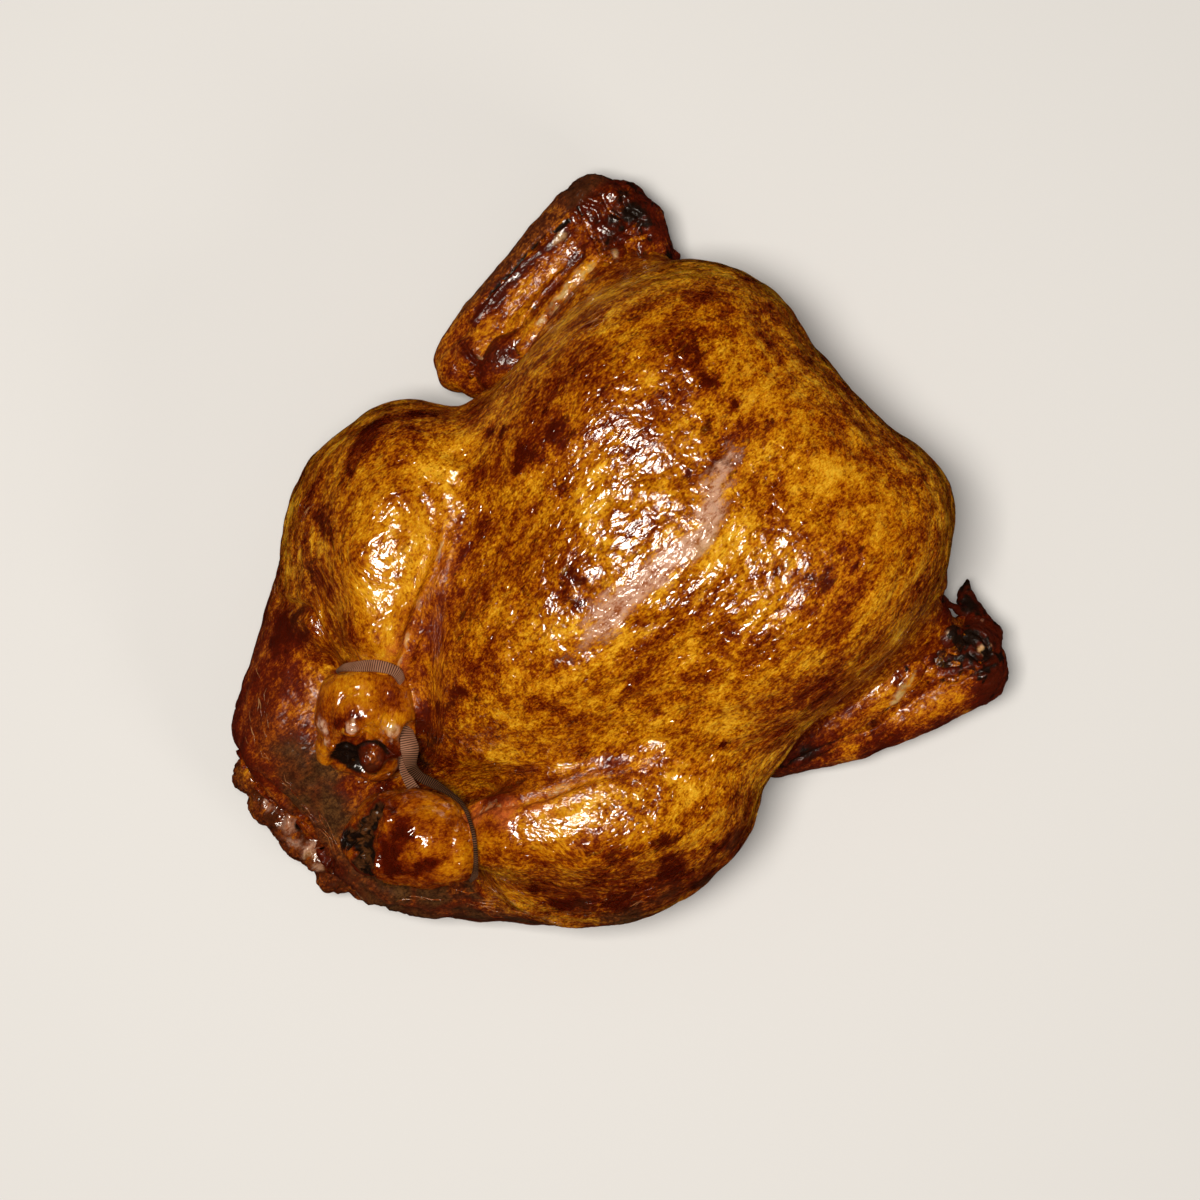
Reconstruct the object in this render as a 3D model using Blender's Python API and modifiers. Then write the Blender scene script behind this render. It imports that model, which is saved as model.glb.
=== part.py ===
"""Whole roast chicken lying on its back, its ankles held together by a loop of ribbed elastic.

X runs from the tail to the neck, Y from the bird's left side to its right side and Z up. The bird's
own box is centred over the origin, and it rests on the flat spot at z = 0. Sizes are in metres.
"""

from math import pi

import bmesh
import bpy
from mathutils import Euler, Matrix, Vector

MM = 0.001

# Tail to neck, which also sets how wide the floor is that flattens the underside.
LENGTH = 235 * MM

# How finely each stage of the bird is fused, and how far its joins are softened.
TRUNK_VOXEL = 3.6 * MM
TRUNK_SOFTENING = 34
LEG_VOXEL = 2.4 * MM
LEG_SOFTENING = 11
DETAIL_VOXEL = 1.5 * MM
DETAIL_SOFTENING = 4
SKIN_TRIANGLES = 6600
SKIN_PLUMPING = 0.8 * MM
ANKLE_REACH = 8 * MM

# The elastic band, and the room that it has in the groove it presses into the skin.
BAND_WIDTH = 4.0 * MM
BAND_THICKNESS = 1.3 * MM
BAND_GAP = 0.35 * MM
BAND_TILT = pi / 2

SKIN_COLOUR = (0.30, 0.085, 0.012, 1.0)
SKIN_ROUGHNESS = 0.32
BAND_COLOUR = (0.17, 0.095, 0.065, 1.0)
BAND_ROUGHNESS = 0.8


def clear_scene():
    for obj in list(bpy.data.objects):
        bpy.data.objects.remove(obj, do_unlink=True)


def new_collection(name):
    collection = bpy.data.collections.new(name)
    bpy.context.scene.collection.children.link(collection)
    return collection


def finish(name, colour, roughness):
    material = bpy.data.materials.new(name)
    material.use_nodes = True
    shader = material.node_tree.nodes["Principled BSDF"]
    shader.inputs["Base Color"].default_value = colour
    shader.inputs["Roughness"].default_value = roughness
    shader.inputs["Metallic"].default_value = 0.0
    return material


def ball(centre, radii, turn=0.0, tilt=0.0):
    """An ellipsoid. Its centre and radii are in millimetres, its turn about Z and tilt about Y in radians."""
    mesh = bmesh.new()
    bmesh.ops.create_icosphere(mesh, subdivisions=4, radius=1.0)
    place = Matrix.Translation(Vector(centre) * MM)
    rotation = Euler((0.0, tilt, turn)).to_matrix().to_4x4()
    size = Matrix.Diagonal((*(Vector(radii) * MM), 1.0))
    bmesh.ops.transform(mesh, matrix=place @ rotation @ size, verts=mesh.verts)
    return mesh


def mesh_of(obj):
    """The evaluated mesh of an object as a bmesh in world space. The object is removed."""
    graph = bpy.context.evaluated_depsgraph_get()
    data = bpy.data.meshes.new_from_object(obj.evaluated_get(graph))
    mesh = bmesh.new()
    mesh.from_mesh(data)
    mesh.transform(obj.matrix_world)
    bmesh.ops.remove_doubles(mesh, verts=mesh.verts, dist=0.01 * MM)
    bpy.data.objects.remove(obj, do_unlink=True)
    return mesh


def limb(stations):
    """A round limb through stations of (x, y, z, radius) in millimetres, with a ball at each end."""
    curve = bpy.data.curves.new("limb", "CURVE")
    curve.dimensions = "3D"
    curve.resolution_u = 6
    curve.bevel_resolution = 4
    curve.bevel_depth = 1.0
    curve.use_fill_caps = True
    spline = curve.splines.new("BEZIER")
    spline.radius_interpolation = "CARDINAL"
    spline.bezier_points.add(len(stations) - 1)
    for point, (x, y, z, radius) in zip(spline.bezier_points, stations):
        point.co = Vector((x, y, z)) * MM
        point.radius = radius * MM
        point.handle_left_type = "AUTO"
        point.handle_right_type = "AUTO"
    obj = bpy.data.objects.new("limb", curve)
    bpy.context.scene.collection.objects.link(obj)
    bpy.context.view_layer.update()
    meshes = [mesh_of(obj)]
    for x, y, z, radius in (stations[0], stations[-1]):
        meshes.append(ball((x, y, z), (radius, radius, radius)))
    return joined(meshes)


def joined(meshes):
    """All the meshes in one bmesh, still overlapping."""
    whole = bmesh.new()
    for mesh in meshes:
        data = bpy.data.meshes.new("piece")
        mesh.to_mesh(data)
        mesh.free()
        whole.from_mesh(data)
        bpy.data.meshes.remove(data)
    return whole


def fused(meshes, voxel, softening):
    """One closed skin round overlapping meshes, with the joins between them softened."""
    data = bpy.data.meshes.new("fused")
    whole = joined(meshes)
    whole.to_mesh(data)
    whole.free()
    obj = bpy.data.objects.new("fused", data)
    bpy.context.scene.collection.objects.link(obj)
    remesh = obj.modifiers.new("Fuse", "REMESH")
    remesh.mode = "VOXEL"
    remesh.voxel_size = voxel
    soften = obj.modifiers.new("Soften", "SMOOTH")
    soften.factor = 0.5
    soften.iterations = softening
    bpy.context.view_layer.update()
    return mesh_of(obj)


def trunk():
    """Breast, belly, back and rump, blended into one plump body."""
    right_breast = ball((55, 32.5, 52), (63, 43, 49.5), turn=0.05)
    left_breast = ball((55, -33.5, 52), (64, 38.5, 49.5), turn=-0.05)
    neck_skin = ball((66.5, 0, 52), (48.5, 27, 43))
    keel = limb([(75.5, 0, 62, 36), (45, 0, 67.5, 39.5), (9, 1.8, 62, 40.5), (-23.5, 4.5, 48.5, 37), (-52, 2.7, 29.5, 26)])
    flanks = ball((11, 1.8, 45), (63, 76.5, 43))
    back = ball((0, 1.8, 27), (101, 59.5, 29.5))
    right_rump = limb([(-43.5, 59.5, 25, 25), (-90, 35, 23, 24)])
    left_rump = limb([(-51, -53, 24, 22), (-80.5, -20, 22, 23)])
    rump = ball((-68.5, -5.4, 22), (47, 37, 24.5))
    shapes = [right_breast, left_breast, neck_skin, keel, flanks, back, right_rump, left_rump, rump]
    return fused(shapes, TRUNK_VOXEL, TRUNK_SOFTENING)


def legs():
    """The thighs, and the drumsticks laid back along the belly."""
    right_thigh = limb([(-10, 69.5, 42.5, 28), (-21.5, 69.5, 38, 29), (-34, 61, 34, 29), (-43, 52, 29, 28)])
    right_drumstick = limb([(-8, 67.5, 52, 25), (-20.5, 60.5, 60.5, 23), (-35, 49.5, 65.5, 18), (-52, 34, 66.5, 10)])
    right_web = limb([(-14.5, 73, 47, 23.5), (-32.5, 64, 48.5, 22.5), (-45, 54, 45, 20)])
    left_thigh = limb([(-14.5, -58.5, 43, 27), (-31.5, -57.5, 38, 28), (-45, -49.5, 34, 28), (-52, -41.5, 29, 28)])
    left_drumstick = limb([(-14.5, -57.5, 52, 24.5), (-29.5, -49.5, 60.5, 22.5), (-47, -38.5, 65.5, 18), (-66.5, -25, 66.5, 11)])
    left_web = limb([(-20, -61, 47, 23.5), (-39.5, -52, 48.5, 22.5), (-56, -41.5, 45, 20)])
    return [right_thigh, right_drumstick, right_web, left_thigh, left_drumstick, left_web]


def knuckles():
    """The bulb past each ankle, with the cut end of the bone at its tip."""
    right = ball((-65, 25.5, 65), (15, 16, 13.5), turn=0.5)
    right_shank = limb([(-48.5, 37, 66.5, 10), (-63, 27, 65.5, 11.5)])
    right_tip = limb([(-68.5, 20.5, 61, 11), (-74.5, 13.5, 58.5, 8)])
    right_flap = limb([(-74, 24.5, 61, 8), (-83.5, 23.5, 56.5, 5.4)])
    left = ball((-78.5, -15, 65), (15.5, 16, 14), turn=-0.6)
    left_shank = limb([(-63, -28, 66.5, 11), (-77.5, -17, 65.5, 12.5)])
    left_tip = limb([(-83, -11.5, 63, 11.5), (-90, -7.2, 61, 9)])
    return [right, right_shank, right_tip, right_flap, left, left_shank, left_tip]


def right_wing():
    """The folded wing: upper arm along the flank, two forearm bones side by side and the hand tucked in."""
    upper_arm = limb([(88, 57.5, 32.5, 16), (68.5, 68.5, 27, 13.5), (36, 81, 20, 10)])
    armpit_skin = limb([(84.5, 65, 27, 11.5), (87.5, 81, 21.5, 9)])
    outer_bone = limb([(32.5, 89, 15.5, 8), (52, 95.5, 18, 8.5), (75.5, 97, 20.5, 8.5), (95.5, 94.5, 20.5, 11)])
    inner_bone = limb([(32.5, 83, 16, 9), (52, 83, 21.5, 7.2), (75.5, 83, 23.5, 7.2), (93.5, 87.5, 21.5, 11)])
    web = ball((63, 89, 15.5), (34, 10, 10), turn=0.05)
    hand = limb([(97, 89, 20.5, 11.5), (101, 81, 20, 9.5), (97, 70, 18, 8)])
    return [upper_arm, armpit_skin, outer_bone, inner_bone, web, hand]


def left_wing():
    """The other wing lies a little open, with its claw standing clear of the breast."""
    upper_arm = limb([(84.5, -57.5, 32.5, 15.5), (56, -68.5, 25, 12.5), (23.5, -74.5, 18, 8)])
    armpit_skin = limb([(81, -65, 27, 11.5), (79, -83, 20.5, 9)])
    outer_bone = limb([(16, -74.5, 11.5, 4.5), (39.5, -84.5, 16, 8), (63, -92, 19, 9.5), (83, -94.5, 20.5, 11.5)])
    inner_bone = limb([(21.5, -74, 16, 7.2), (47, -78.5, 23.5, 7.2), (70, -82, 25, 7.2), (81, -86.5, 23.5, 9)])
    web = ball((56, -85.5, 14.5), (30.5, 8, 9), turn=-0.32)
    hand = limb([(83, -92.5, 20, 11), (92, -88, 18, 7.2), (96.5, -81, 15.5, 4), (99.5, -73, 12.5, 1.2)])
    return [upper_arm, armpit_skin, outer_bone, inner_bone, web, hand]


def tail():
    """The lumpy tail that lies flat behind the rump."""
    right_lump = ball((-108, 23.5, 13.5), (11, 13.5, 9), turn=0.3)
    middle_lump = ball((-109, 6.3, 11.5), (10, 13.5, 9))
    left_lump = ball((-103.5, -12.5, 13.5), (11.5, 11.5, 10), turn=-0.4)
    return [right_lump, middle_lump, left_lump]


def band_route():
    """The points that the elastic passes, over both ankles on top and back under both."""
    over_right = [(-58.5, 41.5, 65.5), (-53, 33.5, 77), (-49.5, 24.5, 69.5), (-54, 15.5, 62)]
    over_left = [(-61, 7.2, 59.5), (-64, -4.5, 60.5), (-64, -12.5, 67.5), (-68.5, -22.5, 77.5), (-75.5, -32.5, 67.5)]
    under_both = [(-75.5, -30.5, 56.5), (-71, -19, 53), (-67.5, -1.8, 54), (-63, 14.5, 54), (-60.5, 29, 54), (-60.5, 38.5, 58.5)]
    return over_right + over_left + under_both


def band(name, margin):
    """The closed elastic loop as a flat ribbon. The margin swells it on every side, for its groove."""
    curve = bpy.data.curves.new(name, "CURVE")
    curve.dimensions = "3D"
    curve.resolution_u = 4
    curve.twist_mode = "MINIMUM"
    thickness = BAND_THICKNESS + 2 * margin
    curve.bevel_depth = thickness / 2
    curve.bevel_resolution = 1
    curve.extrude = (BAND_WIDTH - BAND_THICKNESS) / 2
    spline = curve.splines.new("BEZIER")
    route = band_route()
    spline.bezier_points.add(len(route) - 1)
    spline.use_cyclic_u = True
    for point, place in zip(spline.bezier_points, route):
        point.co = Vector(place) * MM
        point.tilt = BAND_TILT
        point.handle_left_type = "AUTO"
        point.handle_right_type = "AUTO"
    obj = bpy.data.objects.new(name, curve)
    bpy.context.scene.collection.objects.link(obj)
    bpy.context.view_layer.update()
    return mesh_of(obj)


def place(mesh, name, collection, material=None):
    data = bpy.data.meshes.new(name)
    mesh.to_mesh(data)
    mesh.free()
    data.shade_smooth()
    if material:
        data.materials.append(material)
    obj = bpy.data.objects.new(name, data)
    collection.objects.link(obj)
    return obj


def cut(obj, cutter):
    boolean = obj.modifiers.new("Cut " + cutter.name, "BOOLEAN")
    boolean.operation = "DIFFERENCE"
    boolean.solver = "EXACT"
    boolean.object = cutter
    cutter.hide_render = True
    cutter.display_type = "WIRE"


def thin_out(skin):
    """Fewer triangles all over, but for the ankles, where the band's groove needs small ones.

    A light smoothing after it evens out the triangles, so that none is left folded over, and the
    skin is then pushed out by what the smoothing took.
    """
    route = [Vector(place) * MM for place in band_route()]
    group = skin.vertex_groups.new(name="thin")
    for vertex in skin.data.vertices:
        nearest = min((vertex.co - place).length for place in route)
        group.add([vertex.index], 0.0 if nearest < ANKLE_REACH else 1.0, "REPLACE")
    thin = skin.modifiers.new("Thin", "DECIMATE")
    thin.vertex_group = group.name
    thin.ratio = SKIN_TRIANGLES / (2 * len(skin.data.polygons))
    relax = skin.modifiers.new("Relax", "SMOOTH")
    relax.factor = 0.4
    relax.iterations = 2
    plump = skin.modifiers.new("Plump", "DISPLACE")
    plump.mid_level = 0.0
    plump.strength = SKIN_PLUMPING


def floor_cutter():
    mesh = bmesh.new()
    bmesh.ops.create_cube(mesh, size=1.0)
    depth = 40 * MM
    size = Matrix.Diagonal((2 * LENGTH, 2 * LENGTH, depth, 1.0))
    bmesh.ops.transform(mesh, matrix=Matrix.Translation((0, 0, -depth / 2)) @ size, verts=mesh.verts)
    return mesh


def centre(skin, others):
    """Moves everything together until the bird's own box is centred over the origin."""
    graph = bpy.context.evaluated_depsgraph_get()
    corners = [Vector(corner) for corner in skin.evaluated_get(graph).bound_box]
    for axis in (0, 1):
        places = [corner[axis] for corner in corners]
        middle = (min(places) + max(places)) / 2
        for obj in (skin, *others):
            obj.location[axis] -= middle


def main():
    clear_scene()
    bird = new_collection("roast_chicken")
    cutters = new_collection("cutters")
    body = fused([trunk(), *legs()], LEG_VOXEL, LEG_SOFTENING)
    details = knuckles() + right_wing() + left_wing() + tail()
    skin = place(
        fused([body, *details], DETAIL_VOXEL, DETAIL_SOFTENING),
        "chicken",
        bird,
        finish("roasted_skin", SKIN_COLOUR, SKIN_ROUGHNESS),
    )
    thin_out(skin)
    floor = place(floor_cutter(), "floor_cutter", cutters)
    groove = place(band("band_groove", BAND_GAP), "band_groove", cutters)
    cut(skin, floor)
    cut(skin, groove)
    elastic = place(
        band("trussing_elastic", 0.0),
        "trussing_elastic",
        bird,
        finish("elastic", BAND_COLOUR, BAND_ROUGHNESS),
    )
    bpy.context.view_layer.update()
    centre(skin, (floor, groove, elastic))


main()
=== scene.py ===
"""A whole roast chicken on its back: browned glazed skin, wings, bare knuckles and the elastic at its ankles.

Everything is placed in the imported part's own frame. Settings are in metres, and the shapes and marks in the
tables are in millimetres. Each operator builds one piece or one pair of pieces.
"""

import itertools
from functools import partial
from math import cos, pi, radians, sin

import bpy
import numpy as np
from mathutils import Euler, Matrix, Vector
from mathutils.bvhtree import BVHTree
from mathutils.kdtree import KDTree


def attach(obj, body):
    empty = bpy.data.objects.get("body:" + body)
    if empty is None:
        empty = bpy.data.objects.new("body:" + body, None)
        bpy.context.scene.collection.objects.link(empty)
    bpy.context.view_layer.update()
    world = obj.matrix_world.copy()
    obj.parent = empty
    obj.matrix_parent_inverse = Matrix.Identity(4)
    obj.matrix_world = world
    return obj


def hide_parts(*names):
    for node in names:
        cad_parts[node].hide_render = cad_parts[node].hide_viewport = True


bl_info = {
    "name": "Roast chicken",
    "version": (1, 0, 0),
    "blender": (4, 5, 0),
    "location": "View3D > Sidebar > Roast chicken",
    "description": "Builds a whole roast chicken around its packed part",
    "category": "Object",
}

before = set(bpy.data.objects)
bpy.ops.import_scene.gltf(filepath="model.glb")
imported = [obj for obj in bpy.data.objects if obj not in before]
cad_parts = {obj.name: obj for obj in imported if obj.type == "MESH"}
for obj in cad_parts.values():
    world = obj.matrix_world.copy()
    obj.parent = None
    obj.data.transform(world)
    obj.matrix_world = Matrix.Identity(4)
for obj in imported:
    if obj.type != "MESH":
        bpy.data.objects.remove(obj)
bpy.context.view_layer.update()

MM = 0.001
BODY = "root"
SKIN_FINISH = "oven_roasted_glazed_skin"


# ---------------------------------------------------------------- settings


class RoastSkinSettings(bpy.types.PropertyGroup):
    voxel: bpy.props.FloatProperty(
        name="Skin detail", description="Spacing of the points that carry the skin's wrinkles",
        default=1.28 * MM, unit="LENGTH", precision=5,
    )  # fmt: skip
    fine_voxel: bpy.props.FloatProperty(
        name="Wing and knuckle detail", description="Spacing of the points on the wings and the knuckles",
        default=0.55 * MM, unit="LENGTH", precision=5,
    )  # fmt: skip
    golden: bpy.props.StringProperty(
        name="Golden", description="Lightest, least roasted skin, as sRGB hex", default="#E8AD28"
    )
    honey: bpy.props.StringProperty(
        name="Honey", description="Lightly roasted skin, as sRGB hex", default="#CE890E"
    )
    amber: bpy.props.StringProperty(
        name="Amber", description="Skin roasted to an even amber, as sRGB hex", default="#AE6103"
    )
    rust: bpy.props.StringProperty(
        name="Rust", description="Well roasted skin, as sRGB hex", default="#8C3D01"
    )
    mahogany: bpy.props.StringProperty(
        name="Mahogany", description="Browned mottling, as sRGB hex", default="#5A1500"
    )
    maroon: bpy.props.StringProperty(
        name="Maroon", description="Darkest glazed blotches, as sRGB hex", default="#260200"
    )
    stain: bpy.props.StringProperty(
        name="Stain", description="Crisp edged stains where the glaze caught, as sRGB hex", default="#400C00"
    )
    rosy: bpy.props.StringProperty(
        name="Rosy", description="Thin skin over the shank, as sRGB hex", default="#C4602A"
    )
    crinkle: bpy.props.StringProperty(
        name="Crinkle", description="Dry ridges of the wrinkled sides, as sRGB hex", default="#A8794A"
    )
    keel: bpy.props.StringProperty(
        name="Keel", description="Pale dry skin and bare gristle, as sRGB hex", default="#CDA086"
    )
    tanned: bpy.props.StringProperty(
        name="Tanned gristle", description="Gristle that the roasting caught, as sRGB hex", default="#8E4A20"
    )
    fat: bpy.props.StringProperty(
        name="Yellow fat", description="Fat in the folds and on bare bone, as sRGB hex", default="#C9AE62"
    )
    dry: bpy.props.StringProperty(
        name="Dry brown", description="Dull skin, turned from the heat, as sRGB hex", default="#60411F"
    )
    dry_hollow: bpy.props.StringProperty(
        name="Dry hollows", description="The same skin in its dark hollows, as sRGB hex", default="#2F1B0B"
    )
    # Char also gives the painted shade between the knuckles and under the left knuckle.
    char: bpy.props.StringProperty(
        name="Char", description="Burnt ends and deep folds, as sRGB hex", default="#180C06"
    )


class TrussingSettings(bpy.types.PropertyGroup):
    width: bpy.props.FloatProperty(
        name="Band width", description="Width of the flat elastic", default=3.8 * MM, unit="LENGTH"
    )
    thickness: bpy.props.FloatProperty(
        name="Band thickness", description="Thickness of the elastic", default=1.1 * MM, unit="LENGTH"
    )
    rib: bpy.props.FloatProperty(
        name="Rib spacing", description="From one crosswise rib of the knit to the next",
        default=0.68 * MM, unit="LENGTH", precision=5,
    )  # fmt: skip
    colour: bpy.props.StringProperty(
        name="Elastic", description="Roasted elastic, as sRGB hex", default="#B08268"
    )
    stain: bpy.props.StringProperty(
        name="Fat stain", description="Elastic soaked with fat, as sRGB hex", default="#7A4A30"
    )
    # Rib gap is painted shade between the ribs; Soot and Burnt rib give the painted shade between the
    # knuckles and on the edges turned down, with painted highlights on the rib tops.
    gap: bpy.props.StringProperty(
        name="Rib gap", description="Between the ribs, as sRGB hex", default="#2A160E"
    )
    soot: bpy.props.StringProperty(
        name="Soot", description="Between the burnt ribs, as sRGB hex", default="#120703"
    )
    burnt_rib: bpy.props.StringProperty(
        name="Burnt rib", description="Tops of the burnt ribs, as sRGB hex", default="#6A4226"
    )


class StageSettings(bpy.types.PropertyGroup):
    floor: bpy.props.StringProperty(
        name="Floor", description="Pale studio floor, as sRGB hex", default="#DEDFE2"
    )
    lamp: bpy.props.StringProperty(
        name="Lamp tint", description="Light of both softboxes, as sRGB hex", default="#FFF7EA"
    )
    room: bpy.props.StringProperty(
        name="Room tint", description="Light thrown back by the room, as sRGB hex", default="#F4F1EC"
    )
    key_power: bpy.props.FloatProperty(
        name="Softbox power", description="Power of the overhead softbox", default=18.5, unit="POWER"
    )
    side_power: bpy.props.FloatProperty(
        name="Side power", description="Power of the softbox on the left side", default=2.3, unit="POWER"
    )
    ambient: bpy.props.FloatProperty(
        name="Ambient", description="Brightness of the room around it", default=0.13, min=0.0
    )


# ---------------------------------------------------------------- shape helpers


def alone(obj):
    """Deselects everything else, so that an operator acts on this object only."""
    bpy.ops.object.select_all(action="DESELECT")
    obj.select_set(True)
    bpy.context.view_layer.objects.active = obj


def modify(obj, kind, **settings):
    """Adds a modifier with its settings and applies it."""
    alone(obj)
    modifier = obj.modifiers.new(kind.title(), kind)
    for key, value in settings.items():
        setattr(modifier, key, value)
    bpy.ops.object.modifier_apply(modifier=modifier.name)


def knit(piece, voxel, softening):
    """Makes one closed skin round all that the piece holds, and softens its joins."""
    modify(piece, "REMESH", mode="VOXEL", voxel_size=voxel, adaptivity=0.0)
    modify(piece, "SMOOTH", factor=0.5, iterations=softening)


def empty_piece(name):
    obj = bpy.data.objects.new(name, bpy.data.meshes.new(name))
    bpy.context.scene.collection.objects.link(obj)
    alone(obj)
    return obj


def piece_of_rings(name, points, faces):
    """A new piece from points in millimetres and its faces, which are all turned outwards."""
    piece = empty_piece(name)
    piece.data.from_pydata((points * MM).tolist(), [], faces)
    bpy.ops.object.mode_set(mode="EDIT")
    bpy.ops.mesh.select_all(action="SELECT")
    bpy.ops.mesh.normals_make_consistent(inside=False)
    bpy.ops.object.mode_set(mode="OBJECT")
    piece.data.shade_smooth()
    return piece


def add_ball(centre, radii, turn=0.0):
    """Adds an ellipsoid to the piece in edit mode, turned by radians about Z."""
    bpy.ops.mesh.primitive_ico_sphere_add(
        subdivisions=4,
        radius=1.0,
        location=Vector(centre) * MM,
        rotation=(0.0, 0.0, turn),
        scale=Vector(radii) * MM,
    )


def add_limb(stations):
    """Adds a tapered rounded limb through (x, y, z, radius) stations."""
    for x, y, z, radius in stations:
        add_ball((x, y, z), (radius, radius, radius))
    for start, end in itertools.pairwise(stations):
        low, high = Vector(start[:3]), Vector(end[:3])
        axis = high - low
        bpy.ops.mesh.primitive_cone_add(
            vertices=32,
            radius1=start[3] * MM,
            radius2=end[3] * MM,
            depth=axis.length * MM,
            location=(low + high) / 2 * MM,
            rotation=axis.to_track_quat("Z", "Y").to_euler(),
        )


def add_shapes(piece, limbs, balls):
    alone(piece)
    bpy.ops.object.mode_set(mode="EDIT")
    for stations in limbs:
        add_limb(stations)
    for ball in balls:
        add_ball(*ball)
    bpy.ops.object.mode_set(mode="OBJECT")


def fused(name, limbs, balls, voxel, softening):
    """A new piece: one closed skin round all the limbs and balls."""
    piece = empty_piece(name)
    add_shapes(piece, limbs, balls)
    knit(piece, voxel, softening)
    return piece


def points_of(piece):
    points = np.empty(len(piece.data.vertices) * 3)
    piece.data.vertices.foreach_get("co", points)
    return points.reshape(-1, 3) / MM


def normals_of(piece):
    normals = np.empty(len(piece.data.vertices) * 3, np.float32)
    piece.data.vertex_normals.foreach_get("vector", normals)
    return normals.reshape(-1, 3).astype(float)


def move_points(piece, points):
    piece.data.vertices.foreach_set("co", (points * MM).ravel())
    piece.data.update()


def keep_values(piece, name, values):
    """Stores one number, or one vector, for each point, for the materials to read."""
    vector = values.ndim == 2
    layer = piece.data.attributes.new(name, "FLOAT_VECTOR" if vector else "FLOAT", "POINT")
    layer.data.foreach_set("vector" if vector else "value", values.astype(np.float32).ravel())


def faces_tree(piece, unit_size=1.0):
    """The piece's faces, to be asked what lies nearest or under a place, in units of this size."""
    mesh = piece.data
    corners = [vertex.co / unit_size for vertex in mesh.vertices]
    return BVHTree.FromPolygons(corners, [face.vertices for face in mesh.polygons])


def places_tree(places):
    tree = KDTree(len(places))
    for index, place in enumerate(places):
        tree.insert(place, index)
    tree.balance()
    return tree


LATTICE = np.random.default_rng(11).random((48, 48, 48)) * 2.0 - 1.0


def lumps(points, size, seed=0):
    """Soft random lumps, about -1 to 1, with one lump to each size."""
    place = points / size + seed * 5.37
    low = np.floor(place).astype(int)
    part = place - low
    part = part * part * part * (part * (part * 6 - 15) + 10)
    total = np.zeros(len(points))
    for corner in itertools.product((0, 1), repeat=3):
        weight = np.where(corner, part, 1.0 - part).prod(axis=1)
        index = (low + corner) % len(LATTICE)
        total += weight * LATTICE[tuple(index.T)]
    return total


def rough_lumps(points, size, seed=0, octaves=3):
    """Lumps with finer lumps on them, each octave turned so that they don't line up."""
    total = np.zeros(len(points))
    for octave in range(octaves):
        turned = points @ np.array(Euler((octave, 2.0 * octave, 0.5 * octave)).to_matrix())
        total += lumps(turned, size / 2.1**octave, seed + octave) * 0.55**octave
    return total


def warped(points, reach, size, seed):
    """The points pushed about, so that a round spot read at them comes out ragged."""
    push = [rough_lumps(points, size, seed + axis * 3, 2) for axis in range(3)]
    return points + reach * np.stack(push, axis=1)


def line_distance(points, line):
    """Distance from each point to a line of stations, and the share of the way along it."""
    line = np.array(line, float)
    lengths = np.linalg.norm(np.diff(line, axis=0), axis=1)
    starts = np.concatenate([[0.0], np.cumsum(lengths)])
    best = np.full(len(points), 1e9)
    share = np.zeros(len(points))
    for start, end, before, length in zip(line[:-1], line[1:], starts, lengths):
        part = np.clip((points - start) @ (end - start) / length**2, 0.0, 1.0)
        distance = np.linalg.norm(points - start - part[:, None] * (end - start), axis=1)
        closer = distance < best
        best[closer] = distance[closer]
        share[closer] = (before + part[closer] * length) / starts[-1]
    return best, share


def along(points, line, width):
    """1 on the line, falling off over its width."""
    return np.exp(-((line_distance(points, line)[0] / width) ** 2))


def changing(points, line, *stops):
    """A strength that changes along the line, from (share of the way, strength) stops."""
    return np.interp(line_distance(points, line)[1], *zip(*stops))


def groove(points, line, width, depth, lip=0.0):
    """How far a crease of this width lowers each point, with its two edges puffed up by lip."""
    distance, share = line_distance(points, line)
    fade = np.sin(np.clip(share, 0.0, 1.0) * pi) ** 0.35
    across = distance / width
    edge = np.exp(-(((across - 1.7) / 0.8) ** 2))
    return fade * (lip * edge - depth * np.exp(-(across**2)))


def smooth_step(values, low, high):
    share = np.clip((values - low) / (high - low), 0.0, 1.0)
    return share * share * (3.0 - 2.0 * share)


def unit(vectors):
    return vectors / np.maximum(np.linalg.norm(vectors, axis=-1, keepdims=True), 1e-9)


def most(*fields):
    """The strongest of the fields at each point."""
    return np.maximum.reduce(fields)


class Surface:
    """A smooth piece: where marks made from above land on it, and the relief to be pressed into it."""

    # The lowest that a point may lie, and a height well above the bird.
    lowest, overhead = 0.05, 400.0

    def __init__(self, piece):
        self.piece = piece
        self.bare, self.normals = points_of(piece), normals_of(piece)
        self.height = np.zeros(len(self.bare))
        self.tree = faces_tree(piece)

    def under(self, x, y, fall_back=20.0):
        found = self.tree.ray_cast(Vector((x, y, self.overhead)) * MM, Vector((0.0, 0.0, -1.0)))[0]
        return (x, y, found.z / MM if found else fall_back)

    def line(self, places, step=3.0):
        """The places joined by short steps that follow the skin."""
        route = []
        for start, end in itertools.pairwise(places):
            count = max(1, round(float(np.hypot(end[0] - start[0], end[1] - start[1])) / step))
            for index in range(count):
                share = index / count
                route.append([low + (high - low) * share for low, high in zip(start, end)])
        route.append(places[-1])
        return [self.under(x, y) for x, y in route]

    def lines(self, *routes):
        return [self.line(places) for places in routes]

    def spots(self, points, *marks):
        """How strongly each point lies in the (x, y, radius, strength) spots."""
        total = np.zeros(len(points))
        for x, y, radius, strength in marks:
            distance = np.linalg.norm(points - self.under(x, y), axis=1)
            total = np.maximum(total, strength * np.exp(-((distance / radius) ** 2)))
        return total

    def crease(self, width, depth, lip, *lines):
        """Marks a crease of this width and depth along each line, with its edges puffed up by lip."""
        for line in lines:
            self.height += groove(self.bare, line, width, depth, lip)

    def pressed(self):
        """The points with the relief pressed into them."""
        return self.bare + self.height[:, None] * self.normals

    def finish(self, points):
        """Moves the piece's points, none below the flat that it rests on, and shades it smooth."""
        points[:, 2] = np.maximum(points[:, 2], self.lowest)
        move_points(self.piece, points)
        self.piece.data.shade_smooth()
        return points


# ---------------------------------------------------------------- the bird's marks


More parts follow.
